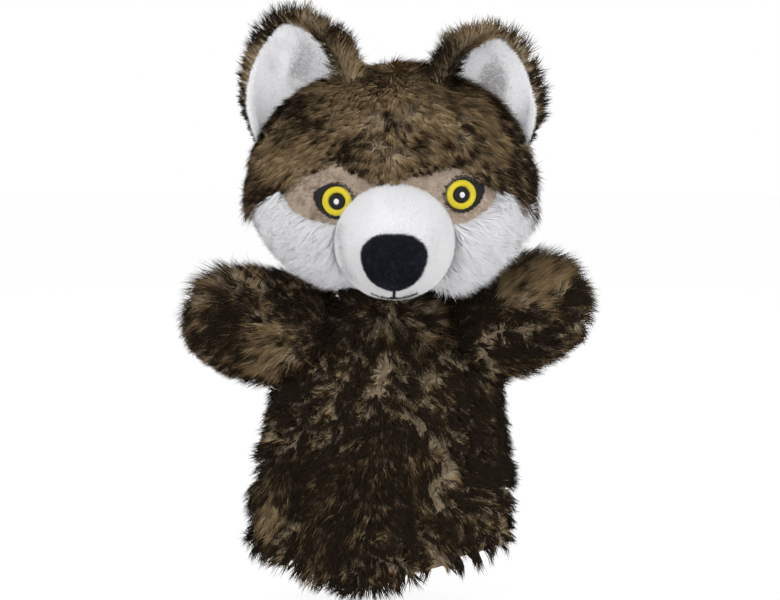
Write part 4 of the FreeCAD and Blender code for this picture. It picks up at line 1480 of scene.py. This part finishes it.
@dataclass
class Ear:
    """A cupped ear: a furry back that rolls over the rim, and a smooth white front."""

    name: str
    base: tuple = (31.5 * MM, -12 * MM, 203 * MM)
    full_tall: float = 61 * MM
    tall_share: dict = field(default_factory=lambda: {"left": 0.90, "right": 1.0})
    half_wide: float = 26 * MM
    inner_share: float = 1.13
    front_share: float = 0.88
    front_tall_share: float = 0.97
    front_shift: float = 1.4 * MM
    cup_radius: float = 31 * MM
    cup_offset: float = 24 * MM
    back_cloth: float = 4.0 * MM
    front_cloth: float = 2.4 * MM
    lean: dict = field(default_factory=lambda: {"left": 20.0, "right": 15.0})
    turn: dict = field(default_factory=lambda: {"left": 24.0, "right": 18.0})
    # How strongly each ear's hollow is greyed with painted shade.
    hollow_painted_shade: dict = field(default_factory=lambda: {"left": 0.54, "right": 0.42})
    hollow_place: dict = field(default_factory=lambda: {"left": (4 * MM, 32 * MM), "right": (-2 * MM, 40 * MM)})
    tuft_length: dict = field(default_factory=lambda: {"left": 0.45, "right": 0.2})
    rim_rise: dict = field(default_factory=lambda: {"left": 34 * MM, "right": 62 * MM})
    pile: Pile = field(default_factory=lambda: Pile(length=9.5 * MM, per_square_mm=3.8, stray=0.3,
                                                    root_lean=26, tip_lean=52))
    front_pile: ShortPile = field(default_factory=lambda: ShortPile(length=1.6 * MM, per_square_mm=11.0))

    @property
    def side(self) -> float:
        """+1 on the puppet's left, -1 on its right."""
        return SIDES[self.name]

    def place(self) -> Matrix:
        """The ear's own axes, up along +Z and its front to -Y, in the frame."""
        return (Matrix.Translation(self.base) @ Matrix.Rotation(math.radians(self.lean[self.name]), 4, "Y")
                @ Matrix.Rotation(math.radians(self.turn[self.name]), 4, "Z"))

    @property
    def tall(self) -> float:
        """This ear's height."""
        return self.full_tall * self.tall_share[self.name]

    def edge(self, across: np.ndarray, height: np.ndarray, front: bool) -> np.ndarray:
        """Where a place from -1 to 1 across the ear lies at a height, on its front or its back."""
        t = np.clip(height / (self.tall * (self.front_tall_share if front else 1.0)), 0, 1)
        low = 1 - 0.08 * ((0.38 - np.minimum(t, 0.38)) / 0.38) ** 2
        high = np.clip(1 - ((np.maximum(t, 0.38) - 0.38) / 0.62) ** 2.15, 0, 1) ** 0.72
        wide = self.half_wide * low * high * np.where(across < 0, self.inner_share, 1.0)
        return across * wide * (self.front_share if front else 1.0) + (self.front_shift if front else 0.0)

    def sheet(self, name: str, front: bool, radius: float, start: float) -> bpy.types.Object:
        """A cupped sheet with the ear's outline."""
        deselect()
        bpy.ops.mesh.primitive_grid_add(x_subdivisions=28, y_subdivisions=36, size=2.0)
        piece = bpy.context.object
        piece.name = piece.data.name = name

        def shape(points: np.ndarray) -> np.ndarray:
            up = (points[:, 1] + 1) / 2
            top = self.tall * (self.front_tall_share if front else 1.0) * 0.998
            height = start + (top - start) * (1 - (1 - up) ** 1.5)
            x = self.edge(points[:, 0], height, front)
            return np.stack([x, self.cup(x, height, radius), height], axis=1)

        move_points(piece, shape)
        if sum(f.normal.y * f.area for f in piece.data.polygons) < 0:
            select_only(piece)
            bpy.ops.object.mode_set(mode="EDIT")
            bpy.ops.mesh.select_all(action="SELECT")
            bpy.ops.mesh.flip_normals()
            bpy.ops.object.mode_set(mode="OBJECT")
        return piece

    def cup(self, x: np.ndarray, height: np.ndarray, radius: float) -> np.ndarray:
        """Depth of the cupped cloth."""
        depth = -self.cup_offset + np.sqrt(np.maximum(radius ** 2 - x ** 2, 0))
        return depth

    def build(self) -> None:
        """Make the back with its pile and the smooth front."""
        place = self.place()
        back = self.sheet(f"{self.name}_ear_back_cloth", False, self.cup_radius - 0.6 * MM, -2 * MM)
        apply_modifier(back, "SOLIDIFY", thickness=self.back_cloth - 1.2 * MM, offset=-1.0)
        place_piece(back, place, self.side)
        surface = Surface.of(back)
        back.data.materials.append(KNIT_TAN.material())
        back.data.shade_smooth()
        finish_piece(back, "head", "tipped_fur", f"{self.name}_ear_back")

        def comb(points: np.ndarray) -> np.ndarray:
            local = to_local(points, place, self.side)
            out = np.stack([local[:, 0] / self.half_wide * 1.1, np.zeros(len(points)),
                            0.25 + local[:, 2] / self.tall * 0.9], axis=1)
            return turn_out(out, place, self.side)

        def bare(points: np.ndarray) -> np.ndarray:
            local = to_local(points, place, self.side)
            radius = np.hypot(local[:, 0], local[:, 1] + self.cup_offset)
            front = radius < self.cup_radius - self.back_cloth * 0.5
            sign = np.sign(local[:, 0] - self.front_shift)
            under = sign * local[:, 0] < sign * self.edge(sign, local[:, 2], True) - 0.5 * MM
            return (~(front & under) & (local[:, 2] > -1 * MM)).astype(float)

        def tufts(points: np.ndarray) -> np.ndarray:
            return soft_noise(points, 8 * MM, 220)

        def trim(points: np.ndarray) -> np.ndarray:
            x, _, z = to_local(points, place, self.side).T
            tall = 1 + np.clip((z - 36 * MM) / (14 * MM), 0, 1) * self.tuft_length[self.name] * (tufts(points) > 0.45)
            return np.where(x > 0, np.clip(0.1 + z / self.rim_rise[self.name], 0.2, 1), 1) * tall

        pile = self.pile.grow(f"{self.name}_ear_pile", surface, comb, WOLF_PILE, 61 if self.name == "left" else 62,
                              bare, trim, lambda p: np.full(len(p), 0.08))
        finish_piece(pile, "head", "tipped_fur")

        front = self.sheet(f"{self.name}_ear_front_cloth", True,
                           self.cup_radius - self.back_cloth - 0.2 * MM, 1 * MM)
        apply_modifier(front, "SOLIDIFY", thickness=self.front_cloth - 0.6 * MM, offset=-1.0)
        move_points(front, self.fold)
        place_piece(front, place, self.side)
        surface = Surface.of(front)
        front.data.materials.append(KNIT_WHITE.material())
        front.data.shade_smooth()
        finish_piece(front, "head", "short_white_plush", f"{self.name}_ear_front")

        def facing(points: np.ndarray) -> np.ndarray:
            local = to_local(points, place, self.side)
            radius = np.hypot(local[:, 0], local[:, 1] + self.cup_offset)
            return (radius < self.cup_radius - self.back_cloth - 0.9 * MM).astype(float)

        # Painted shade: the white front is greyed in its cupped hollow and near the ear's foot, where shade falls.
        def hollow(points: np.ndarray) -> np.ndarray:
            x, _, z = to_local(points, place, self.side).T
            middle, height = self.hollow_place[self.name]
            fold = middle + (height - z) * 0.25
            deep = np.exp(-((x - fold) / (9 * MM)) ** 2 - ((z - height) / (18 * MM)) ** 2)
            low = np.clip((12 * MM - z) / (12 * MM), 0, 1) * 0.2
            return -self.hollow_painted_shade[self.name] * deep - low

        pile = self.front_pile.grow(f"{self.name}_ear_front_pile", surface, comb, SHORT_WHITE,
                                    63 if self.name == "left" else 64, facing, hollow)
        finish_piece(pile, "head", "short_white_plush")

    def fold(self, points: np.ndarray) -> np.ndarray:
        """Soft creases that run up from the ear's foot."""
        x, y, z = points.T
        out = points.copy()
        fade = np.clip(1 - z / (46 * MM), 0, 1)
        crease = np.exp(-((x - 3 * MM) / (3.2 * MM)) ** 2) * 2.2 + np.exp(-((x + 8 * MM) / (3.6 * MM)) ** 2) * 1.4
        out[:, 1] -= crease * MM * fade
        return out


# --------------------------------------------------------------------------
# Studio
# --------------------------------------------------------------------------
@dataclass
class Studio:
    """A pale floor, soft light and the camera."""

    distance: float = 1.15
    look_height: float = 0.1354
    view_width: float = 0.3557
    elevation: float = 6.0
    floor_height: float = -0.007

    def build(self) -> None:
        """Set up floor, light, world and camera."""
        scene = bpy.context.scene
        scene.view_settings.view_transform = "Standard"
        deselect()
        bpy.ops.mesh.primitive_plane_add(size=6.0, location=(0, 0, 0))
        floor = bpy.context.object
        floor.name = "studio_floor"
        move_points(floor, lambda p: p + np.array([0, 0, self.floor_height]))
        nodes = Nodes("floor_white")
        nodes.shader.inputs["Base Color"].default_value = (0.86, 0.86, 0.86, 1)
        nodes.shader.inputs["Roughness"].default_value = 0.9
        self.show_white(nodes, nodes.shader.outputs["BSDF"], nodes.tree.nodes["Material Output"].inputs["Surface"])
        floor.data.materials.append(nodes.material)
        self.light("key_light", (-0.55, -1.1, 0.95), 0.9, 9.6)
        self.light("fill_light", (0.9, -0.9, 0.5), 1.1, 5.8)
        self.light("rear_light", (0.2, 0.9, 1.0), 0.8, 5.0)
        world = bpy.data.worlds.new("studio_world")
        world.use_nodes = True
        tree = world.node_tree
        plain = tree.nodes["Background"]
        plain.inputs["Color"].default_value = (1, 1, 1, 1)
        plain.inputs["Strength"].default_value = 0.55
        white = tree.nodes.new("ShaderNodeBackground")
        white.inputs["Color"].default_value = (1, 1, 1, 1)
        white.inputs["Strength"].default_value = 1.0
        self.choose(tree, plain.outputs[0], white.outputs[0], tree.nodes["World Output"].inputs["Surface"])
        scene.world = world
        data = bpy.data.cameras.new("camera")
        camera = bpy.data.objects.new("camera", data)
        scene.collection.objects.link(camera)
        data.sensor_width = 36.0
        data.lens = 36.0 * self.distance / self.view_width
        data.clip_end = 20.0
        tilt = math.radians(self.elevation)
        target = Vector((0, -0.01, self.look_height))
        camera.location = target + Vector((0, -math.cos(tilt), math.sin(tilt))) * self.distance
        camera.rotation_euler = (target - camera.location).to_track_quat("-Z", "Y").to_euler()
        scene.camera = camera

    def show_white(self, nodes: Nodes, shader: bpy.types.NodeSocket, output: bpy.types.NodeSocket) -> None:
        """Let the floor keep a soft shadow and otherwise look white to the camera."""
        glow = nodes.add("ShaderNodeEmission")
        glow.inputs["Strength"].default_value = 1.04
        path = nodes.add("ShaderNodeLightPath")
        share = nodes.add("ShaderNodeMixShader")
        amount = nodes.add("ShaderNodeMath", operation="MULTIPLY")
        amount.inputs[1].default_value = 0.9
        seen = nodes.add("ShaderNodeMath", operation="MAXIMUM")
        nodes.join(path.outputs["Is Camera Ray"], seen.inputs[0])
        nodes.join(path.outputs["Is Glossy Ray"], seen.inputs[1])
        nodes.join(seen.outputs[0], amount.inputs[0])
        nodes.join(amount.outputs[0], share.inputs[0])
        nodes.join(shader, share.inputs[1])
        nodes.join(glow.outputs[0], share.inputs[2])
        nodes.join(share.outputs[0], output)

    def choose(self, tree: bpy.types.NodeTree, light: bpy.types.NodeSocket, seen: bpy.types.NodeSocket,
               output: bpy.types.NodeSocket) -> None:
        """Light with one background, and show another to the camera and in gloss."""
        path = tree.nodes.new("ShaderNodeLightPath")
        first = tree.nodes.new("ShaderNodeMath")
        first.operation = "MAXIMUM"
        second = tree.nodes.new("ShaderNodeMath")
        second.operation = "MAXIMUM"
        mix = tree.nodes.new("ShaderNodeMixShader")
        tree.links.new(path.outputs["Is Camera Ray"], first.inputs[0])
        tree.links.new(path.outputs["Is Glossy Ray"], first.inputs[1])
        tree.links.new(first.outputs[0], second.inputs[0])
        tree.links.new(path.outputs["Is Transmission Ray"], second.inputs[1])
        tree.links.new(second.outputs[0], mix.inputs[0])
        tree.links.new(light, mix.inputs[1])
        tree.links.new(seen, mix.inputs[2])
        tree.links.new(mix.outputs[0], output)

    def light(self, name: str, place: tuple, size: float, power: float) -> None:
        """Add one soft lamp that looks at the puppet."""
        data = bpy.data.lights.new(name, "AREA")
        data.shape = "DISK"
        data.size = size
        data.energy = power
        lamp = bpy.data.objects.new(name, data)
        bpy.context.scene.collection.objects.link(lamp)
        lamp.location = place
        lamp.rotation_euler = (Vector((0, 0, 0.13)) - Vector(place)).to_track_quat("-Z", "Y").to_euler()


HIDDEN_CLOTH = ("neck_gusset", "neck_binding", "head_finger_pocket", "left_arm_lining", "right_arm_lining",
                "left_shoulder_lining", "right_shoulder_lining")


def dress_inner_cloth() -> None:
    """Give the sleeves, the pocket and the neck's rings their woven cloth."""
    for name in HIDDEN_CLOTH:
        found = [o for o in bpy.data.objects if o.get("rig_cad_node") == name or o.name == name]
        for piece in found:
            for index in range(max(1, len(piece.material_slots))):
                if piece.material_slots:
                    piece.material_slots[index].material = LINING.material()
                else:
                    piece.data.materials.append(LINING.material())


def main() -> None:
    """Build the puppet round its frame."""
    logging.basicConfig(level=logging.INFO, format="%(name)s: %(message)s")
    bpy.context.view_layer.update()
    Studio().build()
    dress_inner_cloth()
    shoulders = [Shoulder(name) for name in SIDES]
    GloveBag().build(shoulders)
    for shoulder in shoulders:
        Arm(shoulder.name).build(shoulder)
    eyes = [Eye(name) for name in SIDES]
    head = Head()
    head.build_form()
    for eye in eyes:
        eye.build(head.front)
    head.build(eyes)
    Muzzle().build()
    for name in SIDES:
        Ear(name).build()


if __name__ == "__main__":
    main()
